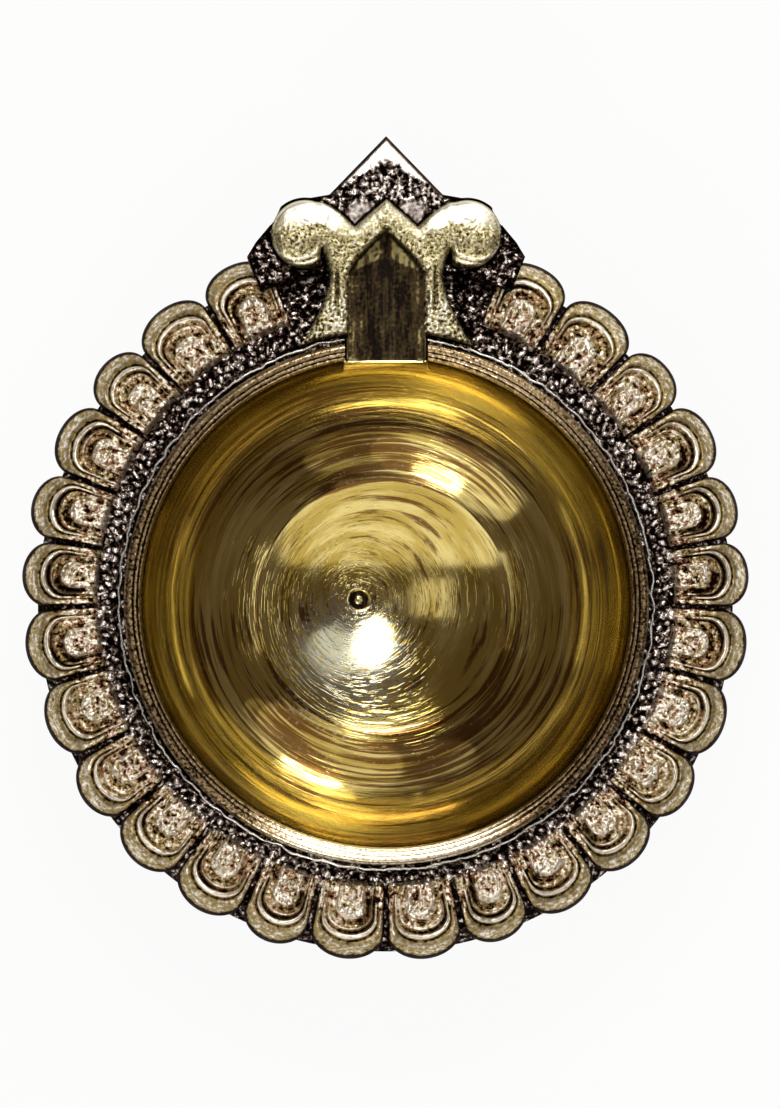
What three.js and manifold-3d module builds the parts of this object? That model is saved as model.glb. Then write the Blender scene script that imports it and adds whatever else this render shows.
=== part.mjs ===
// A small brass oil lamp, a diya: a turned cup in a cast ring of lotus petals, with a wick spout
// that ends in a pointed leaf. Millimetres, +Z up, the spout towards +Y. The origin is the centre
// of the foot's flat base, on the axis of the cup.
import * as THREE from "three";
import { mergeVertices } from "three/addons/utils/BufferGeometryUtils.js";
import Module from "manifold-3d";

const wasm = await Module();
wasm.setup();

// Joints: the pieces are soft-soldered together, and this is the film of solder between them
const SOLDER_FILM = 0.3;

// Cup, from the foot up
const FOOT_THICKNESS = 7.5; // from the table to the middle of the foot's dished top
const CUP_WALL = 1.6;
const FLOOR_RADIUS = 17.4;
const FLOOR_DISH = 1.8; // the floor's centre below the crease round it
const BOWL_DEPTH = 18.8; // top of the lip to the crease round the floor
const BOWL_BELLY = 8; // how straight the wall drops before it turns in
const BOWL_SWEEP = 8; // how far the wall runs in along the floor
const BOWL_SWEEP_RISE = 2.9; // the wall's slope where it meets the floor
const LIP_INNER_RADIUS = 33.2;
const LIP_WIDTH = 2.4;
const LIP_FALL = 1.2; // the lip slopes down to the bowl by this much
const LIP_THICKNESS = 2.7; // top of the lip to the flange's underside

// Foot
const FOOT_RADIUS = 26;
const FOOT_RIM = 2.4; // height of the foot's lowest moulding
const FOOT_COVE = 5.5; // depth of the hollow moulding above it
const FOOT_COVE_HEIGHT = 2.8;
const FOOT_SHOULDER = 1.5; // how far the foot widens again under the cup
const FOOT_GROOVE_RADIUS = 11.5; // ring turned into the base
const FOOT_GROOVE_WIDTH = 7;
const FOOT_GROOVE_DEPTH = 0.6;

// Solder bead in the corner between the lip and the collar
const BEAD_WIDTH = 0.6;
const BEAD_HEIGHT = 1.3;

// Petal collar
const VALLEY_WIDTH = 2.5; // from the bead to the petals' roots
const VALLEY_DEPTH = 0.8; // below the land that the bead lies on
const COLLAR_SKIRT = 9.5; // how far the collar reaches down the cup's belly
const COLLAR_WALL = 2.8;
const PETALS_EACH_SIDE = 13;
const PETAL_FIRST_ANGLE = 19.1; // edge of the first petal from the spout's axis, in degrees
const PETAL_LENGTH = 10.7;
const PETAL_RING_OFFSET = 1.1; // the petals' ring sits this far towards the spout
const PETAL_SPLIT = 0.5; // width of the cut between two petals
const PETAL_SPLIT_DEPTH = 1.9;
const PETAL_SHOULDER = 3.6; // length of a petal's rounded end
const PETAL_CURL = 6; // the part of a petal that falls away to its tip
const PETAL_RISE = 0.7; // the petals' crown above the valley
const PETAL_FALL = 7.5; // how far a petal curls down to its tip
const PETAL_BELLY = 3.2; // how far the underside hangs below the tip
const RIDGE_RISE = 0.4; // the ridges round a petal above its crown
const RIDGE_GROOVE = 0.35; // the grooves between them below it
const BOSS_RISE = 0.9; // the boss in a petal's middle above its crown
const BED_DEPTH = 1.6; // the collar's bed below the petals' crown

// Wick channel
const CHANNEL_HALF_WIDTH = 5.2;
const CHANNEL_DEPTH = 5.5;
const CHANNEL_CENTRE_HALF_WIDTH = 1.25; // flat strip along the middle of its floor
const CHANNEL_SIDE_RISE = 0.9; // the floor's rise from that strip to its sides
const CHANNEL_WALL = 0.6;
const CHANNEL_FLOOR = 1.5;
const CHANNEL_BOWL_END = 0.4; // the channel's reach past the lip into the bowl
const CHANNEL_SHOULDER = -5.1; // its parallel sides end here, from the ring of the petals' tips
const CHANNEL_APEX = 1.2; // its point, from the same ring
const CHANNEL_APEX_DEPTH = 1.5;

// Spout crown. Its points are given from the channel's side and from the ring of the petals' tips.
const CROWN_HEIGHT = 3.8; // thickness over its seat
const CROWN_ROUNDING = 1;
const CROWN_PEAK = 5.5; // in the middle, from the same ring
const CROWN_VALLEY = [-1.6, 1.8];
const CROWN_ARM = [2.1, 4.8];
const SCROLL_CENTRE = [6.3, 0.8];
const SCROLL_RADIUS = 4;
const SCROLL_DOME = 0.4; // the scroll's dome lies this far inside its edge
const SCROLL_RISE = 1.3; // and this far above the crown
const CROWN_NECK = [2.7, -2.1];
const WING_WAIST = [2.2, -5.3];
const WING_FOOT_MARGIN = 0.7; // the wing's foot from the first petal, in degrees

// Leaf under the crown, from the ring of the petals' tips
const LEAF_TIP = 13.7;
const LEAF_SIDE = [5.7, 8.1];
const LEAF_RIM = 0.7; // the leaf's rim round the scrolls
const LEAF_LAP = 2.5; // how far the leaf's flank laps over the first petal, in degrees
const LEAF_FLANK = 0.9; // how far the flank lies outside that ring
const LEAF_ROOT = 4.2; // the leaf's inner edge, inside the ring of tips
const LEAF_RISE = 2.1; // the leaf's border above the valley
const LEAF_BORDER = 1.2;
const LEAF_FIELD_DEPTH = 0.9; // the stippled field below the border
const LEAF_EDGE = 1.8; // height of the leaf's upright edge
const PROW_DEPTH = 10; // the prow under that edge

// Fineness of the round forms
const TURNED_SEGMENTS = 52;
const BOWL_STEPS = 7;
const FLOOR_STEPS = 3;
const ARCH_STEPS = 6; // steps round a petal's end

// Sizes that follow from the ones above
const CREASE_HEIGHT = FOOT_THICKNESS + SOLDER_FILM + CUP_WALL + FLOOR_DISH;
const LIP_HEIGHT = CREASE_HEIGHT + BOWL_DEPTH;
const LIP_OUTER_RADIUS = LIP_INNER_RADIUS + LIP_WIDTH;
const FLANGE_HEIGHT = LIP_HEIGHT - LIP_THICKNESS;
const LAND_HEIGHT = FLANGE_HEIGHT - SOLDER_FILM;
const VALLEY_HEIGHT = LAND_HEIGHT - VALLEY_DEPTH;
const BEAD_INNER_RADIUS = LIP_OUTER_RADIUS + SOLDER_FILM;
const BEAD_OUTER_RADIUS = BEAD_INNER_RADIUS + BEAD_WIDTH;
const VALLEY_OUTER_RADIUS = BEAD_OUTER_RADIUS + VALLEY_WIDTH;
const PETAL_TIP_RADIUS = VALLEY_OUTER_RADIUS + PETAL_LENGTH;
const CROWN_SEAT = VALLEY_HEIGHT + SOLDER_FILM;
const CROWN_TOP = CROWN_SEAT + CROWN_HEIGHT;
const CHANNEL_FLOOR_HEIGHT = CROWN_TOP - CHANNEL_DEPTH;
const BLOCK_HALF_WIDTH = CHANNEL_HALF_WIDTH + CHANNEL_WALL;
const BLOCK_START_Y = LIP_INNER_RADIUS - CHANNEL_BOWL_END;
const CHANNEL_SHOULDER_Y = PETAL_TIP_RADIUS + CHANNEL_SHOULDER;
const CHANNEL_APEX_Y = PETAL_TIP_RADIUS + CHANNEL_APEX;
const WING_FOOT_RADIUS = BEAD_OUTER_RADIUS + SOLDER_FILM;
const WING_FOOT_ANGLE = PETAL_FIRST_ANGLE - WING_FOOT_MARGIN;
const LEAF_HALF_ANGLE = PETAL_FIRST_ANGLE + LEAF_LAP;
const LEAF_FLANK_RADIUS = PETAL_TIP_RADIUS + LEAF_FLANK;
const LEAF_INNER_RADIUS = PETAL_TIP_RADIUS - LEAF_ROOT;
const ABOVE_ALL = 2 * LIP_HEIGHT; // where a cut that is open at the top ends

const radians = THREE.MathUtils.degToRad;
const v2 = (x, y) => new THREE.Vector2(x, y);
// A point of the spout, given from the channel's side and from the ring of the petals' tips.
const spoutPoint = ([out, along]) => v2(BLOCK_HALF_WIDTH + out, PETAL_TIP_RADIUS + along);

// Turns a geometry into a solid that can be joined and cut.
function solidOf(geometry) {
  const bare = geometry.clone();
  bare.deleteAttribute("normal");
  bare.deleteAttribute("uv");
  const merged = mergeVertices(bare, 1e-4);
  return new wasm.Manifold(
    new wasm.Mesh({
      numProp: 3,
      vertProperties: new Float32Array(merged.getAttribute("position").array),
      triVerts: new Uint32Array(merged.index.array),
    }),
  );
}

// Turns a solid back into a geometry.
function geometryOf(solid) {
  const mesh = solid.getMesh();
  const geometry = new THREE.BufferGeometry();
  geometry.setAttribute("position", new THREE.BufferAttribute(mesh.vertProperties, 3));
  geometry.setIndex(new THREE.BufferAttribute(mesh.triVerts, 1));
  geometry.computeVertexNormals();
  return geometry;
}

// A geometry from points and triangles.
function geometryFrom(points, triangles) {
  const geometry = new THREE.BufferGeometry().setFromPoints(points);
  geometry.setIndex(triangles.flat());
  return geometry;
}

// A turned piece. The profile is a list of Vector2 (radius, height), anticlockwise.
function turned(profile) {
  return solidOf(new THREE.LatheGeometry(profile, TURNED_SEGMENTS).rotateX(Math.PI / 2));
}

// A loft through outlines of equal point count. Each section has an anticlockwise outline of
// Vector2 and a function that puts its points in space, and the ends are closed.
function loft(sections) {
  const count = sections[0].outline.length;
  const points = sections.flatMap(({ outline, place }) => outline.map(place));
  const triangles = [];
  for (let s = 0; s + 1 < sections.length; s += 1) {
    for (let i = 0; i < count; i += 1) {
      const here = s * count + i;
      const next = s * count + ((i + 1) % count);
      triangles.push([here, next, next + count], [here, next + count, here + count]);
    }
  }
  const last = (sections.length - 1) * count;
  for (const [a, b, c] of THREE.ShapeUtils.triangulateShape(sections[0].outline, []))
    triangles.push([a, c, b]);
  for (const [a, b, c] of THREE.ShapeUtils.triangulateShape(sections.at(-1).outline, []))
    triangles.push([last + a, last + b, last + c]);
  return solidOf(geometryFrom(points, triangles));
}

// An upright prism between two heights.
function prism(outline, low, high) {
  const place = (height) => (p) => new THREE.Vector3(p.x, p.y, height);
  return loft([
    { outline, place: place(low) },
    { outline, place: place(high) },
  ]);
}

// An upright plate whose upper edge is rounded over.
function roundedPlate(outline, low, high, rounding) {
  const steps = 3;
  const sections = [{ outline, place: (p) => new THREE.Vector3(p.x, p.y, low) }];
  for (let i = 0; i <= steps; i += 1) {
    const angle = (Math.PI / 2) * (i / steps);
    const height = high - rounding * (1 - Math.sin(angle));
    sections.push({
      outline: grown(outline, -rounding * (1 - Math.cos(angle))),
      place: (p) => new THREE.Vector3(p.x, p.y, height),
    });
  }
  return loft(sections);
}

// Moves an anticlockwise outline outwards by a distance, with mitred corners.
function grown(outline, distance) {
  return outline.map((point, i) => {
    const before = outline.at(i - 1);
    const after = outline[(i + 1) % outline.length];
    const into = point.clone().sub(before).normalize();
    const out = after.clone().sub(point).normalize();
    const miter = v2(into.y + out.y, -into.x - out.x).normalize();
    const share = miter.x * into.y - miter.y * into.x;
    return point.clone().addScaledVector(miter, distance / share);
  });
}

// The whole anticlockwise outline from its right half, which runs from the middle of the top to
// the middle of the bottom.
function mirrored(half) {
  const left = half.filter((p) => p.x > 0).map((p) => v2(-p.x, p.y));
  return [...half, ...left.reverse()].reverse();
}

// Points on an arc round the cup's axis, between two angles from the spout's axis in degrees.
function arcRound(radius, from, to, steps) {
  return Array.from({ length: steps + 1 }, (_, i) => {
    const angle = radians(THREE.MathUtils.lerp(from, to, i / steps));
    return v2(radius * Math.sin(angle), radius * Math.cos(angle));
  });
}

// Cup

// The bowl's inside from the lip's inner edge down to the crease round the floor.
const bowlCurve = new THREE.CubicBezierCurve(
  v2(LIP_INNER_RADIUS, LIP_HEIGHT - LIP_FALL),
  v2(LIP_INNER_RADIUS, LIP_HEIGHT - LIP_FALL - BOWL_BELLY),
  v2(FLOOR_RADIUS + BOWL_SWEEP, CREASE_HEIGHT + BOWL_SWEEP_RISE),
  v2(FLOOR_RADIUS, CREASE_HEIGHT),
);

// The floor's dish from its centre out to the crease, which is left to the bowl's curve.
const floorPoints = Array.from({ length: FLOOR_STEPS }, (_, i) => {
  const share = i / FLOOR_STEPS;
  return v2(FLOOR_RADIUS * share, CREASE_HEIGHT - FLOOR_DISH * (1 - share ** 2));
});

// The cup's outside, a wall's thickness away from the bowl, from the belly's foot to the flange.
function cupOutside(away = 0) {
  const points = [];
  for (let i = BOWL_STEPS; i >= 0; i -= 1) {
    const point = bowlCurve.getPoint(i / BOWL_STEPS);
    const along = bowlCurve.getTangent(i / BOWL_STEPS);
    point.addScaledVector(v2(-along.y, along.x), CUP_WALL + away);
    if (point.y < FLANGE_HEIGHT) points.push(point);
  }
  return points;
}

// The cup's whole underside, from the axis out to the flange.
function cupUnderside(away = 0) {
  return [...floorPoints.map((p) => v2(p.x, p.y - CUP_WALL - away)), ...cupOutside(away)];
}

// The part of the cup's underside within a radius, from that radius in to the axis.
function undersideWithin(radius, away) {
  const points = cupUnderside(away);
  const after = points.findIndex((p) => p.x > radius);
  const [a, b] = [points[after - 1], points[after]];
  const edge = v2(radius, THREE.MathUtils.mapLinear(radius, a.x, b.x, a.y, b.y));
  return [edge, ...points.slice(0, after).reverse()];
}

function oilCup() {
  const underside = cupUnderside();
  const wallRadius = underside.at(-1).x;
  const inside = bowlCurve.getPoints(BOWL_STEPS);
  const rounding = (LIP_OUTER_RADIUS - LIP_INNER_RADIUS) / 4;
  return turned([
    ...underside,
    v2(wallRadius, FLANGE_HEIGHT),
    v2(LIP_OUTER_RADIUS, FLANGE_HEIGHT),
    v2(LIP_OUTER_RADIUS, LIP_HEIGHT - rounding),
    v2(LIP_OUTER_RADIUS - rounding, LIP_HEIGHT),
    ...inside,
    ...floorPoints.toReversed(),
  ]).subtract(channelBlock(SOLDER_FILM));
}

// Foot: a turned disc whose top is dished to the cup's underside

function turnedFoot() {
  const neck = FOOT_RADIUS - FOOT_COVE;
  const grooveIn = FOOT_GROOVE_RADIUS - FOOT_GROOVE_WIDTH / 2;
  const grooveOut = FOOT_GROOVE_RADIUS + FOOT_GROOVE_WIDTH / 2;
  const rounding = FOOT_RIM / 4;
  const cove = new THREE.QuadraticBezierCurve(
    v2(FOOT_RADIUS - 2 * rounding, FOOT_RIM),
    v2(neck, FOOT_RIM),
    v2(neck, FOOT_RIM + FOOT_COVE_HEIGHT),
  );
  return turned([
    v2(0, 0),
    v2(grooveIn, 0),
    v2(grooveIn + FOOT_GROOVE_DEPTH, FOOT_GROOVE_DEPTH),
    v2(grooveOut - FOOT_GROOVE_DEPTH, FOOT_GROOVE_DEPTH),
    v2(grooveOut, 0),
    v2(FOOT_RADIUS - rounding, 0),
    v2(FOOT_RADIUS, rounding),
    v2(FOOT_RADIUS, FOOT_RIM - rounding),
    ...cove.getPoints(3),
    ...undersideWithin(neck + FOOT_SHOULDER, SOLDER_FILM),
  ]);
}

// Petal collar

// The height of the petals' crown at a radius from the middle of their ring: nearly level
// inside, then a quarter of an ellipse down to the tip.
function crownHeight(radius) {
  const steepest = 0.97; // the share of the ellipse's quarter at which the tip lies
  const inside = Math.max(0, 1 - (PETAL_TIP_RADIUS - radius) / PETAL_CURL);
  const fall = PETAL_FALL * (1 - Math.sqrt(1 - (steepest * inside) ** 2));
  return VALLEY_HEIGHT + PETAL_RISE - fall;
}

// The nested arches of a petal, from its edge to its middle: the shares of its length by which
// the arch's tip lies inside the petal's, and of its width, and its height over the crown.
const PETAL_ARCHES = [
  { inset: 0, width: 1, relief: -PETAL_SPLIT_DEPTH },
  { inset: 0.08, width: 0.92, relief: -RIDGE_GROOVE },
  { inset: 0.25, width: 0.8, relief: RIDGE_RISE },
  { inset: 0.33, width: 0.68, relief: -RIDGE_GROOVE },
  { inset: 0.4, width: 0.58, relief: RIDGE_RISE },
  { inset: 0.48, width: 0.48, relief: -RIDGE_GROOVE },
  { inset: 0.61, width: 0.3, relief: 0.7 * BOSS_RISE },
  { inset: 0.77, width: 0, relief: BOSS_RISE },
];
// The arches of its underside, with the share of the belly by which each hangs below the tip.
const PETAL_UNDERSIDE = [
  { inset: 0.08, width: 0.9, drop: 0.6 },
  { inset: 0.3, width: 0.6, drop: 0.95 },
  { inset: 0.57, width: 0, drop: 1 },
];

// One petal on the spout's axis, round the middle of the petals' ring.
function petal() {
  const halfAngle =
    radians(180 - PETAL_FIRST_ANGLE) / PETALS_EACH_SIDE / 2 - PETAL_SPLIT / PETAL_TIP_RADIUS / 2;
  const tipHeight = crownHeight(PETAL_TIP_RADIUS);
  // The stations of an arch: its two feet, and the steps round its end.
  const stations = [null];
  for (let i = 0; i <= ARCH_STEPS; i += 1)
    stations.push(THREE.MathUtils.lerp(-Math.PI / 2, Math.PI / 2, i / ARCH_STEPS));
  stations.push(null);
  const across = (arch, i) =>
    stations[i] === null
      ? (i === 0 ? -1 : 1) * halfAngle * arch.width
      : halfAngle * arch.width * Math.sin(stations[i]);
  const radiusAt = (arch, i) => {
    if (stations[i] === null) return VALLEY_OUTER_RADIUS;
    const tip = PETAL_TIP_RADIUS - arch.inset * PETAL_LENGTH;
    return tip - PETAL_SHOULDER * arch.width * (1 - Math.cos(stations[i]));
  };
  const heightAt = (arch, i) => {
    if (arch.drop) return tipHeight - arch.drop * PETAL_BELLY;
    const reach = stations[i] === null ? 0 : Math.cos(stations[i]);
    // The cut between two petals runs out at the tip, where the edge is the petal's own.
    const relief = arch.inset === 0 ? arch.relief * (1 - reach) : arch.relief;
    return crownHeight(radiusAt(arch, i)) + relief;
  };
  const archPoints = (arch) =>
    stations.map((_, i) => {
      const r = radiusAt(arch, i);
      const a = across(arch, i);
      return new THREE.Vector3(r * Math.sin(a), r * Math.cos(a), heightAt(arch, i));
    });
  const top = PETAL_ARCHES.map(archPoints);
  const under = [top[0], ...PETAL_UNDERSIDE.map(archPoints)];
  const points = [...top.flat(), ...under.flat()];
  const count = stations.length;
  const triangles = [];
  const strips = (first, arches, facingUp) => {
    for (let k = 0; k + 1 < arches; k += 1) {
      for (let i = 0; i + 1 < count; i += 1) {
        const a = first + k * count + i;
        const [b, c, d] = [a + 1, a + count + 1, a + count];
        if (facingUp) triangles.push([a, c, b], [a, d, c]);
        else triangles.push([a, b, c], [a, c, d]);
      }
    }
  };
  strips(0, top.length, true);
  strips(top.length * count, under.length, false);
  // The wall at the petal's root, between its upper and its lower edge.
  const rim = [
    ...top.map((arch) => arch[0]),
    ...top.slice(0, -1).reverse().map((arch) => arch.at(-1)),
    ...under.slice(1, -1).map((arch) => arch.at(-1)),
    ...under.slice(1).reverse().map((arch) => arch[0]),
  ];
  const start = points.length;
  points.push(...rim);
  const flat = rim.map((p) => v2(p.x, p.z));
  for (const [a, b, c] of THREE.ShapeUtils.triangulateShape(flat, []))
    triangles.push([start + a, start + b, start + c]);
  return geometryFrom(points, triangles);
}

// The ring that carries the petals: a land round the cup, the valley, a bed under the petals
// and a skirt that hugs the cup's belly.
function collarRing() {
  const hem = FLANGE_HEIGHT - COLLAR_SKIRT;
  const hug = cupOutside(SOLDER_FILM).filter((p) => p.y > hem);
  const bore = hug.at(-1).x;
  const foot = hug[0];
  // A point of the bed at a share of the petals' length inside their tips, below their crown.
  const bed = (inset, below) => {
    const radius = PETAL_TIP_RADIUS - inset * PETAL_LENGTH;
    return v2(radius, crownHeight(radius) - below);
  };
  return turned([
    foot,
    v2(foot.x + COLLAR_WALL / 2, foot.y),
    v2(bore + COLLAR_WALL, VALLEY_HEIGHT - 2 * COLLAR_WALL),
    bed(0.6, BED_DEPTH + 1.5 * COLLAR_WALL),
    bed(0.32, BED_DEPTH + 1.5 * COLLAR_WALL),
    bed(0.23, BED_DEPTH + COLLAR_WALL),
    bed(0.23, 1.5 * BED_DEPTH),
    bed(0.4, BED_DEPTH),
    bed(0.7, BED_DEPTH),
    v2(VALLEY_OUTER_RADIUS, VALLEY_HEIGHT),
    v2(BEAD_OUTER_RADIUS + VALLEY_DEPTH, VALLEY_HEIGHT),
    v2(BEAD_OUTER_RADIUS, LAND_HEIGHT),
    v2(bore, LAND_HEIGHT),
    ...hug.reverse(),
  ]);
}

// The gap in the petals that the leaf fills.
function leafSeat() {
  const outer = 2 * PETAL_TIP_RADIUS;
  const film = THREE.MathUtils.radToDeg(SOLDER_FILM / LEAF_FLANK_RADIUS);
  const edge = LEAF_HALF_ANGLE + film;
  const outline = [
    ...arcRound(outer, -edge, edge, 4).reverse(),
    ...arcRound(LEAF_INNER_RADIUS - SOLDER_FILM, -edge, edge, 8),
  ];
  return prism(outline, 0, ABOVE_ALL);
}

function petalCollar() {
  const pitch = (180 - PETAL_FIRST_ANGLE) / PETALS_EACH_SIDE;
  const petals = [];
  for (let i = 0; i < PETALS_EACH_SIDE; i += 1) {
    for (const side of [-1, 1]) {
      const angle = side * radians(PETAL_FIRST_ANGLE + pitch * (i + 0.5));
      petals.push(solidOf(petal().rotateZ(angle).translate(0, PETAL_RING_OFFSET, 0)));
    }
  }
  return petals
    .reduce((whole, one) => whole.add(one), collarRing())
    .subtract(leafSeat())
    .subtract(crownSeat())
    .subtract(channelBlock(SOLDER_FILM));
}

// Solder bead in the corner between the lip and the collar

function solderBead() {
  const low = LAND_HEIGHT + SOLDER_FILM;
  return turned([
    v2(BEAD_INNER_RADIUS, low),
    v2(BEAD_OUTER_RADIUS, low),
    v2(BEAD_OUTER_RADIUS, low + BEAD_HEIGHT / 2),
    v2(BEAD_INNER_RADIUS + BEAD_WIDTH / 2, low + BEAD_HEIGHT),
    v2(BEAD_INNER_RADIUS, low + BEAD_HEIGHT),
    v2(BEAD_INNER_RADIUS, low),
  ]).subtract(channelBlock(SOLDER_FILM));
}

// Wick spout

// A section across the channel, at a distance from the cup's axis.
const acrossSpout = (y) => (p) => new THREE.Vector3(p.x, y, p.y);

// The block that holds the channel and passes through the lip. The clearance is what its
// neighbours are cut back by.
function channelBlock(clearance = 0) {
  const chamfer = 0.8;
  const bottom = CHANNEL_FLOOR_HEIGHT - CHANNEL_FLOOR - clearance;
  const top = clearance ? ABOVE_ALL : CROWN_TOP - CROWN_ROUNDING / 3;
  const section = (halfWidth, low) => [
    v2(-halfWidth, top),
    v2(-halfWidth, low + chamfer),
    v2(-halfWidth + chamfer, low),
    v2(halfWidth - chamfer, low),
    v2(halfWidth, low + chamfer),
    v2(halfWidth, top),
  ];
  const wide = section(BLOCK_HALF_WIDTH + clearance, bottom);
  const narrow = section(CHANNEL_CENTRE_HALF_WIDTH + clearance, bottom + CHANNEL_FLOOR);
  return loft([
    { outline: narrow, place: acrossSpout(CHANNEL_APEX_Y + CHANNEL_WALL + clearance) },
    { outline: wide, place: acrossSpout(CHANNEL_SHOULDER_Y + clearance) },
    { outline: wide, place: acrossSpout(BLOCK_START_Y - clearance) },
  ]);
}

// The hollow of the channel: level from the bowl to its shoulder, then rising to a point.
function channelHollow() {
  const section = (share, floor) => {
    const half = CHANNEL_HALF_WIDTH * share;
    const centre = CHANNEL_CENTRE_HALF_WIDTH * share;
    return [
      v2(-half, ABOVE_ALL),
      v2(-half, floor + CHANNEL_SIDE_RISE),
      v2(-centre, floor),
      v2(centre, floor),
      v2(half, floor + CHANNEL_SIDE_RISE),
      v2(half, ABOVE_ALL),
    ];
  };
  const sections = [];
  const steps = 4;
  for (let i = steps; i >= 0; i -= 1) {
    const share = i / steps;
    const y = THREE.MathUtils.lerp(CHANNEL_SHOULDER_Y, CHANNEL_APEX_Y, share);
    const rise = (CHANNEL_DEPTH - CHANNEL_APEX_DEPTH) * share ** 2;
    const width = Math.max(1 - share ** 1.4, 0.02);
    sections.push({
      outline: section(width, CHANNEL_FLOOR_HEIGHT + rise),
      place: acrossSpout(y),
    });
  }
  sections.push({
    outline: section(1, CHANNEL_FLOOR_HEIGHT),
    place: acrossSpout(BLOCK_START_Y - CHANNEL_FLOOR),
  });
  return loft(sections);
}

// The crown's outline: a peak over the channel, an arm and a scroll on each side, and a wing
// that runs down to a foot beside the lip.
function crownOutline() {
  const half = new THREE.Path();
  const to = (point) => half.lineTo(point.x, point.y);
  const scroll = spoutPoint(SCROLL_CENTRE);
  half.moveTo(0, PETAL_TIP_RADIUS + CROWN_PEAK);
  to(spoutPoint(CROWN_VALLEY));
  to(spoutPoint(CROWN_ARM));
  half.absarc(scroll.x, scroll.y, SCROLL_RADIUS, radians(105), radians(-115), true);
  to(spoutPoint(CROWN_NECK));
  const waist = spoutPoint(WING_WAIST);
  to(waist);
  const inner = THREE.MathUtils.radToDeg(Math.asin(BLOCK_HALF_WIDTH / WING_FOOT_RADIUS)) / 2;
  const foot = arcRound(WING_FOOT_RADIUS, WING_FOOT_ANGLE, inner, 3);
  half.quadraticCurveTo(waist.x, (waist.y + foot[0].y) / 2, foot[0].x, foot[0].y);
  return mirrored([...half.getPoints(6), ...foot.slice(1)]);
}

// The flat seat that the crown's outline is let into.
function crownSeat() {
  return prism(grown(crownOutline(), SOLDER_FILM), VALLEY_HEIGHT, ABOVE_ALL);
}

function wickSpout() {
  const plate = roundedPlate(crownOutline(), CROWN_SEAT, CROWN_TOP, CROWN_ROUNDING);
  const scroll = spoutPoint(SCROLL_CENTRE);
  const domeRadius = SCROLL_RADIUS - SCROLL_DOME;
  const dome = (side) =>
    solidOf(
      new THREE.SphereGeometry(1, 16, 8)
        .rotateX(Math.PI / 2)
        .scale(domeRadius, domeRadius, SCROLL_RISE + CROWN_ROUNDING)
        .translate(side * scroll.x, scroll.y, CROWN_TOP - CROWN_ROUNDING),
    );
  return plate
    .add(dome(-1))
    .add(dome(1))
    .add(channelBlock())
    .subtract(channelHollow());
}

// Leaf

// The points of the leaf's free edge from its tip to where it meets the scroll.
const leafTip = v2(0, PETAL_TIP_RADIUS + LEAF_TIP);
const leafSide = v2(LEAF_SIDE[0], PETAL_TIP_RADIUS + LEAF_SIDE[1]);

// The leaf's outline at a share of the way down its prow, where it shrinks to the collar's ring.
function leafOutline(pull) {
  const scroll = spoutPoint(SCROLL_CENTRE);
  const rim = new THREE.Path();
  rim.absarc(scroll.x, scroll.y, SCROLL_RADIUS + LEAF_RIM, radians(110), radians(10), true);
  const flank = arcRound(LEAF_FLANK_RADIUS, LEAF_HALF_ANGLE, LEAF_HALF_ANGLE, 1)[0];
  const keel = (LEAF_INNER_RADIUS + PETAL_TIP_RADIUS) / 2;
  const edge = [leafTip, leafSide, ...rim.getPoints(3), flank].map((p) => {
    const radius = THREE.MathUtils.lerp(p.length(), keel, pull);
    return p.clone().setLength(radius);
  });
  const inner = arcRound(LEAF_INNER_RADIUS, LEAF_HALF_ANGLE, 0, 5);
  return mirrored([...edge, ...inner]);
}

function spoutLeaf() {
  const top = VALLEY_HEIGHT + LEAF_RISE;
  const edge = top - LEAF_EDGE;
  const levels = [
    { height: edge - PROW_DEPTH, pull: 0.96 },
    { height: edge - 0.78 * PROW_DEPTH, pull: 0.62 },
    { height: edge - 0.24 * PROW_DEPTH, pull: 0.16 },
    { height: edge, pull: 0 },
    { height: top, pull: 0 },
  ];
  const body = loft(
    levels.map(({ height, pull }) => ({
      outline: leafOutline(pull),
      place: (p) => new THREE.Vector3(p.x, p.y, height),
    })),
  );
  // The sunken field reaches in under the crown.
  const shoulder = spoutPoint(CROWN_ARM);
  const under = spoutPoint(CROWN_VALLEY).y - 2 * LEAF_BORDER;
  const field = mirrored([leafTip, leafSide, shoulder, v2(shoulder.x, under), v2(0, under)]);
  return body
    .subtract(prism(grown(field, -LEAF_BORDER), top - LEAF_FIELD_DEPTH, ABOVE_ALL))
    .subtract(crownSeat())
    .subtract(channelBlock(SOLDER_FILM));
}

// The lamp

const polishedBrass = { color: 0xb79a3e, roughness: 0.22, metalness: 1 };
const antiqueBrass = { color: 0x7d6844, roughness: 0.42, metalness: 1 };
const paleBrass = { color: 0xa8a278, roughness: 0.45, metalness: 1 };
const turnedBrass = { color: 0x9c8240, roughness: 0.3, metalness: 1 };
const tinSolder = { color: 0xc9c9c4, roughness: 0.35, metalness: 1 };

const lamp = new THREE.Group();
const pieces = [
  ["oil_cup", oilCup(), polishedBrass],
  ["petal_collar", petalCollar(), antiqueBrass],
  ["solder_bead", solderBead(), tinSolder],
  ["wick_spout", wickSpout(), paleBrass],
  ["spout_leaf", spoutLeaf(), antiqueBrass],
  ["turned_foot", turnedFoot(), turnedBrass],
];
for (const [name, solid, finish] of pieces) {
  const mesh = new THREE.Mesh(geometryOf(solid), new THREE.MeshStandardMaterial(finish));
  mesh.name = name;
  lamp.add(mesh);
}

export default lamp;
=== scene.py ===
"""A small brass oil lamp, a diya, dressed for the camera.

Sizes in the classes are millimetres in the CAD frame: the origin is the centre of the foot's flat
base, +Z is up out of the cup and +Y runs out along the wick spout. Meshes are built in
millimetres, and become metres when they are handed over as pieces.
"""

import logging
import math
from dataclasses import dataclass
from enum import Enum
from typing import Callable, Optional, Sequence, Union

import bmesh
import bpy
import numpy as np
from mathutils import Euler, Matrix, Vector, geometry, noise


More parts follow.
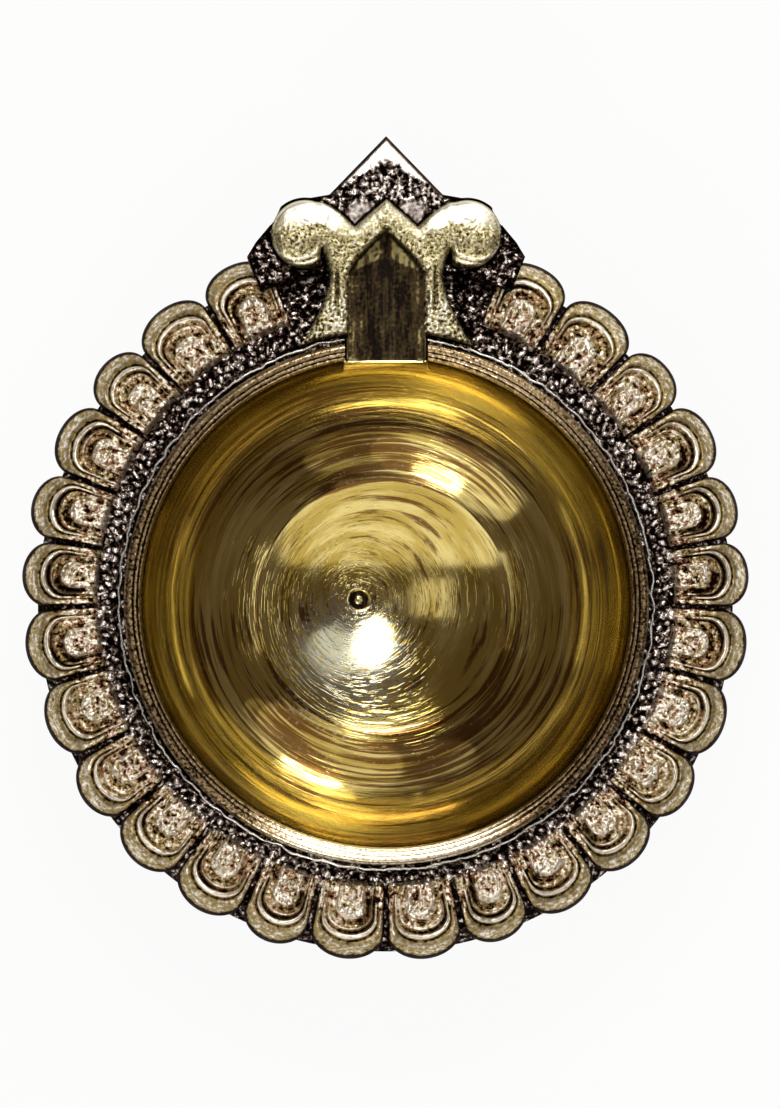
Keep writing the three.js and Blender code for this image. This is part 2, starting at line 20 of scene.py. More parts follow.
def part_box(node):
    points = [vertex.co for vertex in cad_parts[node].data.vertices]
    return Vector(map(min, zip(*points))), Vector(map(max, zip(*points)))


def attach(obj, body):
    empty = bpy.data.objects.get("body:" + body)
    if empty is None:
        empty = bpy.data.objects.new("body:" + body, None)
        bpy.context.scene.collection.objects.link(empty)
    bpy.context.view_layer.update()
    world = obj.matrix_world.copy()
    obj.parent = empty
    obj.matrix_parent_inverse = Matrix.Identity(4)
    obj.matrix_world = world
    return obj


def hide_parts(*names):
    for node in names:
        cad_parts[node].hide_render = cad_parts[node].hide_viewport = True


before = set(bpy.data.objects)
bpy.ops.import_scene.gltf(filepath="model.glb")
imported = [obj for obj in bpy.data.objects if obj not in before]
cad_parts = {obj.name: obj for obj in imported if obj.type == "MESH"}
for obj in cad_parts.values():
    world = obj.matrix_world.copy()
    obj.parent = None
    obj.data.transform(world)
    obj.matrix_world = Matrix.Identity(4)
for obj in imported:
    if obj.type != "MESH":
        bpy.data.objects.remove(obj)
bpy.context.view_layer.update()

log = logging.getLogger("diya")

MM = 0.001  # metres in a millimetre
SAME = 1e-3  # places closer than this, in millimetres, are one place
CUT = 1e-5  # and this close to a cutting plane, a corner lies in it
Point = tuple[float, float]
Carved = tuple[np.ndarray, np.ndarray, np.ndarray]  # heights, wear and polish


class Node(Enum):
    """The CAD nodes that the dressed pieces stand for."""

    CUP = "oil_cup"
    COLLAR = "petal_collar"
    BEAD = "solder_bead"
    SPOUT = "wick_spout"
    LEAF = "spout_leaf"
    FOOT = "turned_foot"


class Slot(Enum):
    """The record's material slots."""

    POLISHED = "polished_brass"
    ANTIQUE = "antique_brass"
    TIN = "tin_solder"
    PALE = "pale_brass"
    TURNED = "turned_brass"


# Measures and curves


def box_of(node: Node) -> tuple[Vector, Vector]:
    """Gives a CAD node's box in millimetres.

    Args:
        node: The node that is measured.

    Returns:
        Its lowest and its highest corner.
    """
    low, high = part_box(node.value)
    return low / MM, high / MM


def ease(low: float, high: float, value: float) -> float:
    """Rises smoothly from 0 at one value to 1 at another.

    Args:
        low: Where the rise starts.
        high: Where it ends.
        value: Where it is asked for.

    Returns:
        A share between 0 and 1.
    """
    share = min(max((value - low) / (high - low), 0.0), 1.0)
    return share * share * (3.0 - 2.0 * share)


def mix(first: float, second: float, share: float) -> float:
    """Goes from the first number to the second by a share."""
    return first + (second - first) * share


def rise(low: float, high: float, values: np.ndarray) -> np.ndarray:
    """Rises evenly from 0 at one value to 1 at another, which may be the lower one."""
    return np.clip((values - low) / (high - low), 0.0, 1.0)


def bell(values: np.ndarray, spread: Union[float, np.ndarray]) -> np.ndarray:
    """Gives 1 where the values are 0, and less the further from it they are."""
    return np.exp(-((values / spread) ** 2))


def bumps(places: np.ndarray, often: float, layer: float) -> np.ndarray:
    """Reads a noise in the plan.

    Args:
        places: Places in the plan, one a row.
        often: How many lumps the noise has in a millimetre.
        layer: The height at which it is sliced.

    Returns:
        Values round 0.
    """
    return np.array([noise.noise((x * often, y * often, layer)) for x, y in places])


def bezier(knots: Sequence[Point], steps: int) -> list[Point]:
    """Walks along a cubic curve.

    Args:
        knots: Start, its handle, the end's handle and the end.
        steps: How many steps the curve is cut into.

    Returns:
        The points, with both ends.
    """
    start, out, back, end = (Vector((x, y, 0.0)) for x, y in knots)
    return [(p.x, p.y) for p in geometry.interpolate_bezier(start, out, back, end, steps + 1)]


def arc(centre: Point, radius: float, start: float, end: float, steps: int) -> list[Point]:
    """Walks along an arc.

    Args:
        centre: The arc's centre.
        radius: Its radius.
        start: The angle of its first point from +X, in degrees.
        end: The angle of its last point.
        steps: How many steps it is cut into.

    Returns:
        The points, with both ends.
    """
    angles = [math.radians(mix(start, end, i / steps)) for i in range(steps + 1)]
    return [(centre[0] + radius * math.cos(a), centre[1] + radius * math.sin(a)) for a in angles]


def beside(points: Sequence[Point], distance: float) -> list[Point]:
    """Moves a curve sideways, to the left of its run.

    Args:
        points: The curve.
        distance: How far each point moves.

    Returns:
        The moved points.
    """
    moved = []
    for i, (x, y) in enumerate(points):
        before = points[max(i - 1, 0)]
        after = points[min(i + 1, len(points) - 1)]
        run = Vector((after[0] - before[0], after[1] - before[1])).normalized()
        moved.append((x - run.y * distance, y + run.x * distance))
    return moved


def mirrored(half: Sequence[Point]) -> list[Point]:
    """Closes a half outline over the spout's axis.

    Args:
        half: The right half, from the top of the axis to its bottom.

    Returns:
        The whole outline, anticlockwise.
    """
    left = [(-x, y) for x, y in half if x > 0.0]
    return (list(half) + left[::-1])[::-1]


# Meshes


def turned(profile: Sequence[Point], steps: int) -> bmesh.types.BMesh:
    """Turns a profile about the cup's axis.

    Args:
        profile: Points (radius, height) that end on the axis or close on themselves.
        steps: Steps of the full turn.

    Returns:
        The turned mesh, in millimetres.
    """
    bm = bmesh.new()
    verts = [bm.verts.new((radius, 0.0, height)) for radius, height in profile]
    edges = [bm.edges.new(pair) for pair in zip(verts, verts[1:])]
    bmesh.ops.spin(
        bm,
        geom=verts + edges,
        cent=(0.0, 0.0, 0.0),
        axis=(0.0, 0.0, 1.0),
        angle=math.tau,
        steps=steps,
        use_merge=True,
    )
    bmesh.ops.remove_doubles(bm, verts=bm.verts, dist=1e-4)
    bmesh.ops.recalc_face_normals(bm, faces=bm.faces)
    return bm


def cut_notch(bm: bmesh.types.BMesh, half_width: float, low: float) -> None:
    """Cuts the spout's slot through a turned wall and closes the cut.

    Args:
        bm: The turned mesh. It is changed.
        half_width: Half the slot's width.
        low: The slot's floor.
    """

    def near() -> list:
        """Gives the faces on the spout's side, with their edges and corners."""
        faces = [f for f in bm.faces if f.calc_center_median().y > 0.0]
        edges = {e for f in faces for e in f.edges}
        return faces + list(edges) + list({v for e in edges for v in e.verts})

    for place, normal in (
        ((half_width, 0.0, 0.0), (1.0, 0.0, 0.0)),
        ((-half_width, 0.0, 0.0), (-1.0, 0.0, 0.0)),
        ((0.0, 0.0, low), (0.0, 0.0, 1.0)),
    ):
        bmesh.ops.bisect_plane(bm, geom=near(), plane_co=place, plane_no=normal, dist=CUT)
    gone = []
    for face in bm.faces:
        middle = face.calc_center_median()
        if middle.y > 0.0 and abs(middle.x) < half_width and middle.z > low:
            gone.append(face)
    bmesh.ops.delete(bm, geom=gone, context="FACES")
    rim = [e for e in bm.edges if e.is_boundary]
    if rim:
        close_planes(bm, rim, half_width, low)


def close_planes(
    bm: bmesh.types.BMesh, rim: list[bmesh.types.BMEdge], half_width: float, low: float
) -> None:
    """Closes the slot's two sides and its floor, each with a flat face.

    Args:
        bm: The mesh with the open slot. It is changed.
        rim: The slot's open edges.
        half_width: Half the slot's width.
        low: The slot's floor.
    """
    tests: list[Callable[[Vector], bool]] = [
        lambda co: abs(co.x - half_width) < SAME,
        lambda co: abs(co.x + half_width) < SAME,
        lambda co: abs(co.z - low) < SAME,
    ]
    corners = [v for v in {v for e in rim for v in e.verts} if tests[2](v.co)]
    for side in tests[:2]:
        ends = [v for v in corners if side(v.co)]
        if len(ends) == 2 and bm.edges.get(ends) is None:
            rim.append(bm.edges.new(ends))
    for test in tests:
        edges = [e for e in rim if all(test(v.co) for v in e.verts)]
        if len(edges) > 2:
            bmesh.ops.contextual_create(bm, geom=edges)


def hand_over(
    bm: bmesh.types.BMesh,
    name: str,
    materials: Sequence[bpy.types.Material],
    nodes: Sequence[Node],
    sharp: float = 40.0,
) -> bpy.types.Object:
    """Makes a mesh a piece of the lamp, in metres, in place of its CAD nodes.

    Args:
        bm: The mesh in millimetres. It is freed.
        name: The piece's name.
        materials: Its materials, in the order of the faces' material numbers.
        nodes: The CAD nodes that it stands for.
        sharp: Edges that turn by more than this many degrees stay sharp.

    Returns:
        The piece.
    """
    bmesh.ops.recalc_face_normals(bm, faces=bm.faces)
    bmesh.ops.scale(bm, vec=(MM, MM, MM), verts=bm.verts)
    mesh = bpy.data.meshes.new(name)
    bm.to_mesh(mesh)
    bm.free()
    mesh.shade_smooth()
    mesh.set_sharp_from_angle(angle=math.radians(sharp))
    for material in materials:
        mesh.materials.append(material)
    piece = bpy.data.objects.new(name, mesh)
    bpy.context.scene.collection.objects.link(piece)
    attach(piece, "root")
    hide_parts(*(node.value for node in nodes))
    log.info("%s: %d faces", name, len(mesh.polygons))
    return piece


UNDER_WEAR = 0.3  # how far the underside of a carved plate is rubbed bright


class Carving:
    """A plate carved from above: an outline, a top and an underside given by height."""

    def __init__(self, outline: Sequence[Point], spacing: float) -> None:
        """Lays a grid over the outline and trims it.

        Args:
            outline: The plate's anticlockwise outline.
            spacing: The grid's step.
        """
        self.outline = np.array(outline)
        self.bm = bmesh.new()
        self.bm.verts.layers.float.new("relief")
        self.bm.verts.layers.float.new("polish")
        low, high = self.outline.min(0), self.outline.max(0)
        size = high - low
        count = np.ceil(size / spacing).astype(int)
        bmesh.ops.create_grid(self.bm, x_segments=count[0], y_segments=count[1], size=0.5)
        for vert in self.bm.verts:
            vert.co.x = low[0] + size[0] * (vert.co.x + 0.5)
            vert.co.y = low[1] + size[1] * (vert.co.y + 0.5)
        self._trim()

    def _trim(self) -> None:
        """Drops the faces outside the outline and draws the rim onto it."""
        middles = np.array([f.calc_center_median()[:2] for f in self.bm.faces])
        inside = self.inside(middles)
        gone = [f for f, keep in zip(self.bm.faces, inside) if not keep]
        bmesh.ops.delete(self.bm, geom=gone, context="FACES")
        rim = [v for v in self.bm.verts if v.is_boundary]
        nearest = self.nearest(np.array([v.co[:2] for v in rim]))[1]
        for vert, place in zip(rim, nearest):
            vert.co.x, vert.co.y = place

    def inside(self, points: np.ndarray) -> np.ndarray:
        """Tells which points lie inside the outline.

        Args:
            points: Places in the plan, one a row.

        Returns:
            True for each place that is inside.
        """
        within = np.zeros(len(points), bool)
        after = np.roll(self.outline, -1, 0)
        for (ax, ay), (bx, by) in zip(self.outline, after):
            if ay == by:
                continue
            crosses = (ay > points[:, 1]) != (by > points[:, 1])
            at = ax + (bx - ax) * (points[:, 1] - ay) / (by - ay)
            within ^= crosses & (points[:, 0] < at)
        return within

    def nearest(self, points: np.ndarray) -> tuple[np.ndarray, np.ndarray, np.ndarray]:
        """Finds the outline's nearest point to each place.

        Args:
            points: Places in the plan, one a row.

        Returns:
            The distances, the nearest points and the outline's outward normals there.
        """
        best = np.full(len(points), np.inf)
        place = np.zeros((len(points), 2))
        normal = np.zeros((len(points), 2))
        for start, end in zip(self.outline, np.roll(self.outline, -1, 0)):
            run = end - start
            length = float(run @ run)
            if length == 0.0:
                continue
            share = np.clip((points - start) @ run / length, 0.0, 1.0)
            foot = start + share[:, None] * run
            away = np.linalg.norm(points - foot, axis=1)
            closer = away < best
            best[closer] = away[closer]
            place[closer] = foot[closer]
            normal[closer] = np.array((run[1], -run[0])) / math.sqrt(length)
        return best, place, normal

    def carve(
        self,
        top: Callable[[np.ndarray, np.ndarray, np.ndarray], Carved],
        under: Callable[[np.ndarray], np.ndarray],
    ) -> bmesh.types.BMesh:
        """Raises the top from the underside and gives both their heights.

        Args:
            top: Gives the top's heights, wear and polish from places, distances and normals.
            under: Gives the underside's heights from places.

        Returns:
            The closed mesh, in millimetres, with the wear in its relief attribute.
        """
        bm = self.bm
        raised = bmesh.ops.extrude_face_region(bm, geom=list(bm.faces))["geom"]
        upper = [g for g in raised if isinstance(g, bmesh.types.BMVert)]
        chosen = set(upper)
        lower = [v for v in bm.verts if v not in chosen]
        places = np.array([v.co[:2] for v in upper])
        distance, _, normal = self.nearest(places)
        heights, wear, smooth = top(places, distance, normal)
        relief = bm.verts.layers.float["relief"]
        polish = bm.verts.layers.float["polish"]
        for vert, height, worn, rubbed in zip(upper, heights, wear, smooth):
            vert.co.z = height
            vert[relief] = worn
            vert[polish] = rubbed
        for vert, height in zip(lower, under(np.array([v.co[:2] for v in lower]))):
            vert.co.z = height
            vert[relief] = UNDER_WEAR
        bmesh.ops.recalc_face_normals(bm, faces=bm.faces)
        return bm


# Finishes


Socket = bpy.types.NodeSocket
Value = Union[Socket, float]
Triple = Union[Socket, Sequence[float]]

NOISE_SPAN = (0.3, 0.7)  # the values that a noise mostly takes


def linear(colour: str) -> tuple[float, float, float, float]:
    """Turns an sRGB hex colour into linear light.

    Args:
        colour: The colour as #RRGGBB.

    Returns:
        Linear red, green, blue and an alpha of 1.
    """
    parts = [int(colour[i : i + 2], 16) / 255.0 for i in (1, 3, 5)]
    light = [p / 12.92 if p <= 0.04045 else ((p + 0.055) / 1.055) ** 2.4 for p in parts]
    return (light[0], light[1], light[2], 1.0)


def mm(*values: float) -> tuple[float, ...]:
    """Turns millimetres into the metres that a node reads."""
    return tuple(value * MM for value in values)


def per(width: float) -> float:
    """Tells how many times a width in millimetres goes into a metre."""
    return 1.0 / (width * MM)


def add_node(
    tree: bpy.types.NodeTree, kind: str, inputs: Optional[dict] = None, **settings: object
) -> bpy.types.Node:
    """Adds a node with its settings, and links or sets its sockets.

    Args:
        tree: The node tree.
        kind: The node's type.
        inputs: For each socket's name or number, an output to link or a value to set.
        settings: The node's own settings.

    Returns:
        The node.
    """
    node = tree.nodes.new(kind)
    for name, value in settings.items():
        setattr(node, name, value)
    for key, value in (inputs or {}).items():
        if isinstance(value, Socket):
            tree.links.new(value, node.inputs[key])
        else:
            node.inputs[key].default_value = value
    return node


class Graph:
    """A material's node tree, with a short call for each kind of node that repeats."""

    def __init__(self, name: str) -> None:
        """Starts an empty node material.

        Args:
            name: The material's name.
        """
        self.material = bpy.data.materials.new(name)
        self.material.use_nodes = True
        self.tree = self.material.node_tree
        self.tree.nodes.clear()

    def place(self) -> Socket:
        """Gives the object's own coordinates."""
        return add_node(self.tree, "ShaderNodeTexCoord").outputs["Object"]

    def attribute(self, name: str) -> Socket:
        """Gives one of the mesh's own attributes."""
        return add_node(self.tree, "ShaderNodeAttribute", attribute_name=name).outputs["Fac"]

    def noise(self, place: Socket, scale: float, detail: float, roughness: float = 0.5) -> Socket:
        """Gives a noise, whose values mostly lie in NOISE_SPAN.

        Args:
            place: Where it is read.
            scale: How many of its lumps go into one unit of the place.
            detail: How many finer layers it has.
            roughness: How strong those are.

        Returns:
            The noise's factor.
        """
        inputs = {"Vector": place, "Scale": scale, "Detail": detail, "Roughness": roughness}
        return add_node(self.tree, "ShaderNodeTexNoise", inputs).outputs["Fac"]

    def ramp(
        self, value: Socket, span: Point = (0.0, 1.0), to: Point = (0.0, 1.0), smooth: bool = False
    ) -> Socket:
        """Carries a value from one range over to another and holds it there.

        Args:
            value: The value.
            span: The range that it comes from.
            to: The range that it goes to.
            smooth: Whether it starts and ends gently.

        Returns:
            The carried value.
        """
        inputs = {"Value": value}
        inputs.update(zip(("From Min", "From Max", "To Min", "To Max"), (*span, *to)))
        kind = "SMOOTHSTEP" if smooth else "LINEAR"
        node = add_node(self.tree, "ShaderNodeMapRange", inputs, interpolation_type=kind)
        return node.outputs["Result"]

    def math(
        self, operation: str, first: Value, second: Value = 0.0, clamp: bool = False
    ) -> Socket:
        """Works out one number from two, held between 0 and 1 if it is to be clamped."""
        settings = {"operation": operation, "use_clamp": clamp}
        return add_node(self.tree, "ShaderNodeMath", {0: first, 1: second}, **settings).outputs[0]

    def vector(
        self, operation: str, first: Triple, second: Triple = (0.0, 0.0, 0.0), scale: Value = 1.0
    ) -> Socket:
        """Works out a vector from two, or the length that a measuring operation gives.

        Args:
            operation: The operation's name.
            first: The first vector.
            second: The second one, where the operation takes it.
            scale: The factor of SCALE.

        Returns:
            The vector or the length.
        """
        inputs = {0: first, "Scale": scale} if operation == "SCALE" else {0: first, 1: second}
        node = add_node(self.tree, "ShaderNodeVectorMath", inputs, operation=operation)
        return node.outputs["Value" if operation in ("LENGTH", "DISTANCE") else 0]

    def blend(self, share: Socket, first: Union[Socket, str], second: Union[Socket, str]) -> Socket:
        """Goes from one colour to another.

        Args:
            share: 0 for the first colour and 1 for the second.
            first: A socket or an sRGB hex colour.
            second: The same.

        Returns:
            The blended colour.
        """
        ends = [linear(end) if isinstance(end, str) else end for end in (first, second)]
        inputs = {0: share, 6: ends[0], 7: ends[1]}
        return add_node(self.tree, "ShaderNodeMix", inputs, data_type="RGBA").outputs[2]

    def bump(
        self, height: Socket, depth: float, strength: float = 1.0, below: Optional[Socket] = None
    ) -> Socket:
        """Bumps the surface.

        Args:
            height: The bumps' heights, from 0 to 1.
            depth: What a height of 1 is, in millimetres.
            strength: How much of them shows.
            below: The bumped normal that they lie on.

        Returns:
            The bumped normal.
        """
        inputs = {"Height": height, "Strength": strength, "Distance": depth * MM}
        if below is not None:
            inputs["Normal"] = below
        return add_node(self.tree, "ShaderNodeBump", inputs).outputs["Normal"]

    def finish(self, sockets: dict) -> bpy.types.Material:
        """Ends the tree in one Principled shader.

        Args:
            sockets: For each of the shader's sockets, an output to link or a value to set.

        Returns:
            The finished material.
        """
        shader = add_node(self.tree, "ShaderNodeBsdfPrincipled", sockets)
        add_node(self.tree, "ShaderNodeOutputMaterial", {"Surface": shader.outputs[0]})
        return self.material


@dataclass(frozen=True)
class CastBrass:
    """Sand-cast brass with a dark patina that is rubbed off the high places.

    The casting's grain breaks every reflection into specks, the recesses stay nearly black and
    the tops shine warm.
    """

    name: str
    recess: str
    body: str
    worn: str
    grain: float = 0.45  # size of the specks
    pitting: float = 0.16  # size of the finer pits
    depth: float = 0.05  # depth of the grain
    speckle: float = 0.45  # how much the specks shift the wear
    rough_recess: float = 0.62
    rough_worn: float = 0.3
    polished_skin: float = 0.12  # how much of the grain is left where the piece is polished
    body_span: Point = (0.05, 0.5)  # the wear over which the recess turns into the body
    worn_span: Point = (0.5, 0.95)  # and the body into worn brass
    blush: Optional[str] = None  # a second colour of the body, in broad patches
    blush_size: float = 1.5

    def build(self) -> bpy.types.Material:
        """Makes the material from the piece's relief and polish, and two sizes of grain."""
        graph = Graph(self.name)
        place = graph.place()
        skin = graph.ramp(graph.attribute("polish"), to=(1.0, self.polished_skin))
        coarse = graph.noise(place, per(self.grain), 3.0, 0.65)
        fine = graph.noise(place, per(self.pitting), 2.0)
        swing = graph.ramp(coarse, NOISE_SPAN, (-self.speckle, self.speckle))
        swing = graph.math("MULTIPLY", swing, skin)
        wear = graph.math("ADD", graph.attribute("relief"), swing, clamp=True)
        body = self.body
        if self.blush is not None:
            broad = graph.noise(place, per(self.blush_size), 2.0)
            patches = graph.ramp(broad, (0.35, 0.65), smooth=True)
            patches = graph.math("MULTIPLY", patches, graph.math("POWER", skin, 2.0))
            body = graph.blend(patches, self.body, self.blush)
        dull = graph.blend(graph.ramp(wear, self.body_span, smooth=True), self.recess, body)
        colour = graph.blend(graph.ramp(wear, self.worn_span, smooth=True), dull, self.worn)
        roughness = graph.ramp(wear, to=(self.rough_recess, self.rough_worn))
        grains = graph.bump(graph.math("MULTIPLY", coarse, skin), self.depth)
        pits = graph.bump(fine, 0.3 * self.depth, strength=0.7, below=grains)
        return graph.finish(
            {"Base Color": colour, "Roughness": roughness, "Normal": pits, "Metallic": 1.0}
        )


@dataclass(frozen=True)
class TurnedBrass:
    """Brass turned on a lathe and polished, with the tool's rings left in it.

    The rings draw every reflection out towards the axis, and rings that hold tarnish show as
    brown streaks.
    """

    name: str
    bright: str
    olive: str
    tarnish: str
    ring: float = 0.42  # width of a fine ring
    band: float = 2.6  # width of a broad streak
    depth: float = 0.003
    scratch: float = 0.004  # depth of the sparse, deeper rings that the tool scratched
    roughness: float = 0.075
    anisotropy: float = 0.6
    centre: Point = (0.0, 0.0)  # the middle of the rings on the floor
    centre_reach: float = 17.4  # past this radius, the crease, the rings run round the axis
    crease_half_width: float = 0.3
    crease_stain: float = 0.16  # how much more tarnish the crease holds
    wall_stain: float = 0.0  # how much more the wall past it holds
    floor_stain: float = 0.0  # and the floor inside it
    clean_span: Point = (24.0, 28.0)  # between these radii that falls to the next share
    clean_share: float = 0.4
    cloud_size: float = 16.0
    cloud_stain: float = 0.12
    dark_reflections: tuple[tuple[float, float, float, float], ...] = ()  # x, y, reach and more darkening: painted dark reflections, in the tarnish colour
    pale: Optional[str] = None  # the colour that the wall turns towards below the lip
    pale_span: Point = (25.5, 31.0)  # the radii between which it turns
    pale_share: float = 0.25  # and how far
    pale_reflection: Optional[str] = None  # the colour of a painted pale reflection on the floor, if there is one
    pale_reflection_centre: Point = (-4.5, -6.5)
    pale_reflection_reach: float = 12.5
    pale_reflection_speck: float = 0.55

    def build(self) -> bpy.types.Material:
        """Makes the material from rings round the axis in the object's own coordinates."""
        graph = Graph(self.name)
        place = graph.place()
        flat = graph.vector("MULTIPLY", place, (1.0, 1.0, 0.0))
        span = graph.vector("LENGTH", flat)
        reach = self.centre_reach
        pull = graph.ramp(span, mm(0.5 * reach, reach), (1.0, 0.0), smooth=True)
        offset = graph.vector("SCALE", (*mm(*self.centre), 0.0), scale=pull)
        spoke = graph.vector("SUBTRACT", flat, offset)
        heading = graph.vector("NORMALIZE", spoke)
        height = add_node(graph.tree, "ShaderNodeSeparateXYZ", {0: place}).outputs["Z"]
        path = graph.math("ADD", graph.vector("LENGTH", spoke), height)

        def rings(width: float, arcs: float, detail: float) -> Socket:
            """Gives a noise that is drawn out round the axis.

            Args:
                width: The rings' width in millimetres.
                arcs: How often a ring changes on its way round.
                detail: The noise's detail.

            Returns:
                The noise's factor.
            """
            around = graph.vector("SCALE", heading, scale=arcs)
            along = graph.math("MULTIPLY", path, per(width))
            lift = add_node(graph.tree, "ShaderNodeCombineXYZ", {"Z": along}).outputs[0]
            return graph.noise(graph.vector("ADD", around, lift), 1.0, detail, 0.6)

        fine = rings(self.ring, 2.2, 2.0)
        tone = graph.ramp(rings(self.band, 0.9, 3.0), (0.38, 0.62), smooth=True)
        gold = graph.blend(tone, self.olive, self.bright)
        scored = graph.ramp(fine, NOISE_SPAN, (-0.07, 0.07))
        held = graph.math("ADD", rings(0.35 * self.band, 1.3, 5.0), self.held_by_wall(graph, span))
        held = self.tarnish_and_dark_reflections(graph, place, graph.math("ADD", held, scored))
        colour = graph.blend(held, gold, self.tarnish)
        if self.pale is not None:
            outer = graph.ramp(span, mm(*self.pale_span), (0.0, self.pale_share))
            colour = graph.blend(outer, colour, self.pale)
        if self.pale_reflection is not None:
            colour = self.with_pale_reflection(graph, place, colour)
        roughness = graph.ramp(fine, to=(0.6 * self.roughness, 1.6 * self.roughness))
        scratches = graph.ramp(rings(0.6 * self.ring, 3.4, 2.0), (0.52, 0.68), smooth=True)
        normal = graph.bump(scratches, self.scratch, below=graph.bump(fine, self.depth))
        tangent = add_node(graph.tree, "ShaderNodeTangent", direction_type="RADIAL", axis="Z")
        return graph.finish(
            {
                "Base Color": colour,
                "Roughness": roughness,
                "Normal": normal,
                "Tangent": tangent.outputs[0],
                "Metallic": 1.0,
                "Anisotropic": self.anisotropy,
                "Anisotropic Rotation": 0.25,
            }
        )

    def held_by_wall(self, graph: Graph, span: Socket) -> Socket:
        """Gives the tarnish that the wall or the floor holds more than the other.

        Args:
            graph: The material's nodes.
            span: The distance from the axis.

        Returns:
            What comes on top of the streaks.
        """
        reach, half = self.centre_reach, self.crease_half_width
        wall = graph.ramp(span, mm(reach - half, reach + half), (self.floor_stain, self.wall_stain))
        clean = graph.ramp(span, mm(*self.clean_span), (1.0, self.clean_share))
        return graph.math("MULTIPLY", wall, clean)

    def tarnish_and_dark_reflections(self, graph: Graph, place: Socket, held: Socket) -> Socket:
        """Adds the clouds, the crease and the painted dark reflections to the tarnish.

        Args:
            graph: The material's nodes.
            place: The object's own coordinates.
            held: The tarnish so far.

        Returns:
            The share of the tarnish's colour.
        """
        flat = graph.vector("MULTIPLY", place, (1.0, 1.0, 0.0))
        clouds = graph.noise(place, per(self.cloud_size), 1.0)
        clouds = graph.ramp(clouds, NOISE_SPAN, (-self.cloud_stain, self.cloud_stain))
        held = graph.math("ADD", held, clouds)
        past = graph.math("SUBTRACT", graph.vector("LENGTH", flat), self.centre_reach * MM)
        line = mm(0.08, self.crease_half_width)
        crease = graph.ramp(graph.math("ABSOLUTE", past), line, (self.crease_stain, 0.0))
        held = graph.math("ADD", held, crease)
        # Painted reflections: dark patches on the floor, mixed in with the tarnish.
        for x, y, reach, more in self.dark_reflections:
            aside = graph.vector("DISTANCE", flat, (*mm(x, y), 0.0))
            held = graph.math("ADD", held, graph.ramp(aside, mm(0.4 * reach, reach), (more, 0.0)))
        return graph.ramp(held, (0.54, 0.68), (0.0, 0.9), smooth=True)

    def with_pale_reflection(self, graph: Graph, place: Socket, colour: Socket) -> Socket:
        """Paints a speckled grey patch on the floor, a painted pale reflection.

        Args:
            graph: The material's nodes.
            place: The object's own coordinates.
            colour: The brass under the patch.

        Returns:
            The colour with the patch.
        """
        flat = graph.vector("MULTIPLY", place, (1.0, 1.0, 0.0))
        away = graph.vector("DISTANCE", flat, (*mm(*self.pale_reflection_centre), 0.0))
        patch = graph.ramp(away, mm(0.4 * self.pale_reflection_reach, self.pale_reflection_reach), (0.34, 0.0))
        specks = graph.noise(place, per(self.pale_reflection_speck), 4.0)
        share = graph.ramp(graph.math("ADD", specks, patch), (0.62, 0.84), (0.0, 0.85))
        return graph.blend(share, colour, self.pale_reflection)


@dataclass(frozen=True)
class SootedBrass:
    """Cast brass in the wick's channel, stained brown by oil and soot.

    The stain lies in streaks along the channel and is darkest down its middle.
    """

    name: str = "sooted_cast_brass"
    soot: str = "#1A110A"
    stain: str = "#6E5C3C"
    bare: str = "#B3A674"
    streak: float = 0.7  # width of a streak across the channel
    grain: float = 0.3
    grain_depth: float = 0.03

    def build(self) -> bpy.types.Material:
        """Makes the material from streaks that run along +Y."""
        graph = Graph(self.name)
        place = graph.place()
        across = per(self.streak)
        inputs = {"Vector": place, "Scale": (across, 0.16 * across, 0.5 * across)}
        drawn = add_node(graph.tree, "ShaderNodeMapping", inputs).outputs[0]
        shift = graph.ramp(graph.noise(drawn, 1.0, 4.0), NOISE_SPAN, (-0.45, 0.45))
        share = graph.math("ADD", graph.attribute("relief"), shift, clamp=True)
        dark = graph.blend(share, self.soot, self.stain)
        colour = graph.blend(graph.ramp(share, (0.6, 1.0), smooth=True), dark, self.bare)
        normal = graph.bump(graph.noise(place, per(self.grain), 2.0), self.grain_depth)
        return graph.finish(
            {"Base Color": colour, "Roughness": 0.55, "Normal": normal, "Metallic": 0.85}
        )


ANTIQUE = CastBrass(
    "antique_cast_brass",
    recess="#220C0A",
    body="#AE9B66",
    worn="#FFF7E8",
    grain=0.55,
    depth=0.11,
    speckle=0.8,
    rough_recess=0.75,
    rough_worn=0.3,
    blush="#B27F5E",
)
GROUND = CastBrass(
    "blackened_cast_brass",
    recess="#080504",
    body="#5C4A42",
    worn="#FBF3EE",
    grain=0.7,
    depth=0.16,
    speckle=0.95,
    rough_recess=0.75,
    rough_worn=0.26,
)
PALE = CastBrass(
    "pale_cast_brass",
    recess="#3E321A",
    body="#C4B988",
    worn="#FBF8EA",
    grain=0.36,
    depth=0.07,
    speckle=0.5,
    rough_recess=0.5,
    rough_worn=0.34,
)
# The lip's worn colour also shows its painted highlight on the near side.
LIP = CastBrass(
    "scraped_and_highlit_brass_lip",
    recess="#1C110A",
    body="#A48C68",
    worn="#F6ECD2",
    grain=0.42,
    depth=0.012,
    speckle=0.4,
    rough_recess=0.35,
    rough_worn=0.2,
)
TIN = CastBrass(
    "tin_solder",
    recess="#8A8784",
    body="#DAD9D6",
    worn="#F6F6F5",
    grain=0.8,
    depth=0.03,
    speckle=0.25,
    rough_recess=0.4,
    rough_worn=0.22,
)
POLISHED = TurnedBrass(
    "polished_turned_brass",
    bright="#E6D58C",
    olive="#C0A957",
    tarnish="#66401C",
    centre=(-3.4, 1.0),
    wall_stain=0.08,
    floor_stain=-0.03,
    dark_reflections=((13.5, -0.5, 6.0, 0.1), (-12.5, 0.5, 6.5, 0.15)),
    pale="#F1EBC4",
    pale_reflection="#CBC8B4",
)
FOOT_BRASS = TurnedBrass(
    "plain_turned_brass",
    bright="#CDB068",
    olive="#A88C48",
    tarnish="#7A5E34",
    ring=0.3,
    depth=0.006,
    roughness=0.28,
)
SOOTED = SootedBrass()


# Sub-assemblies


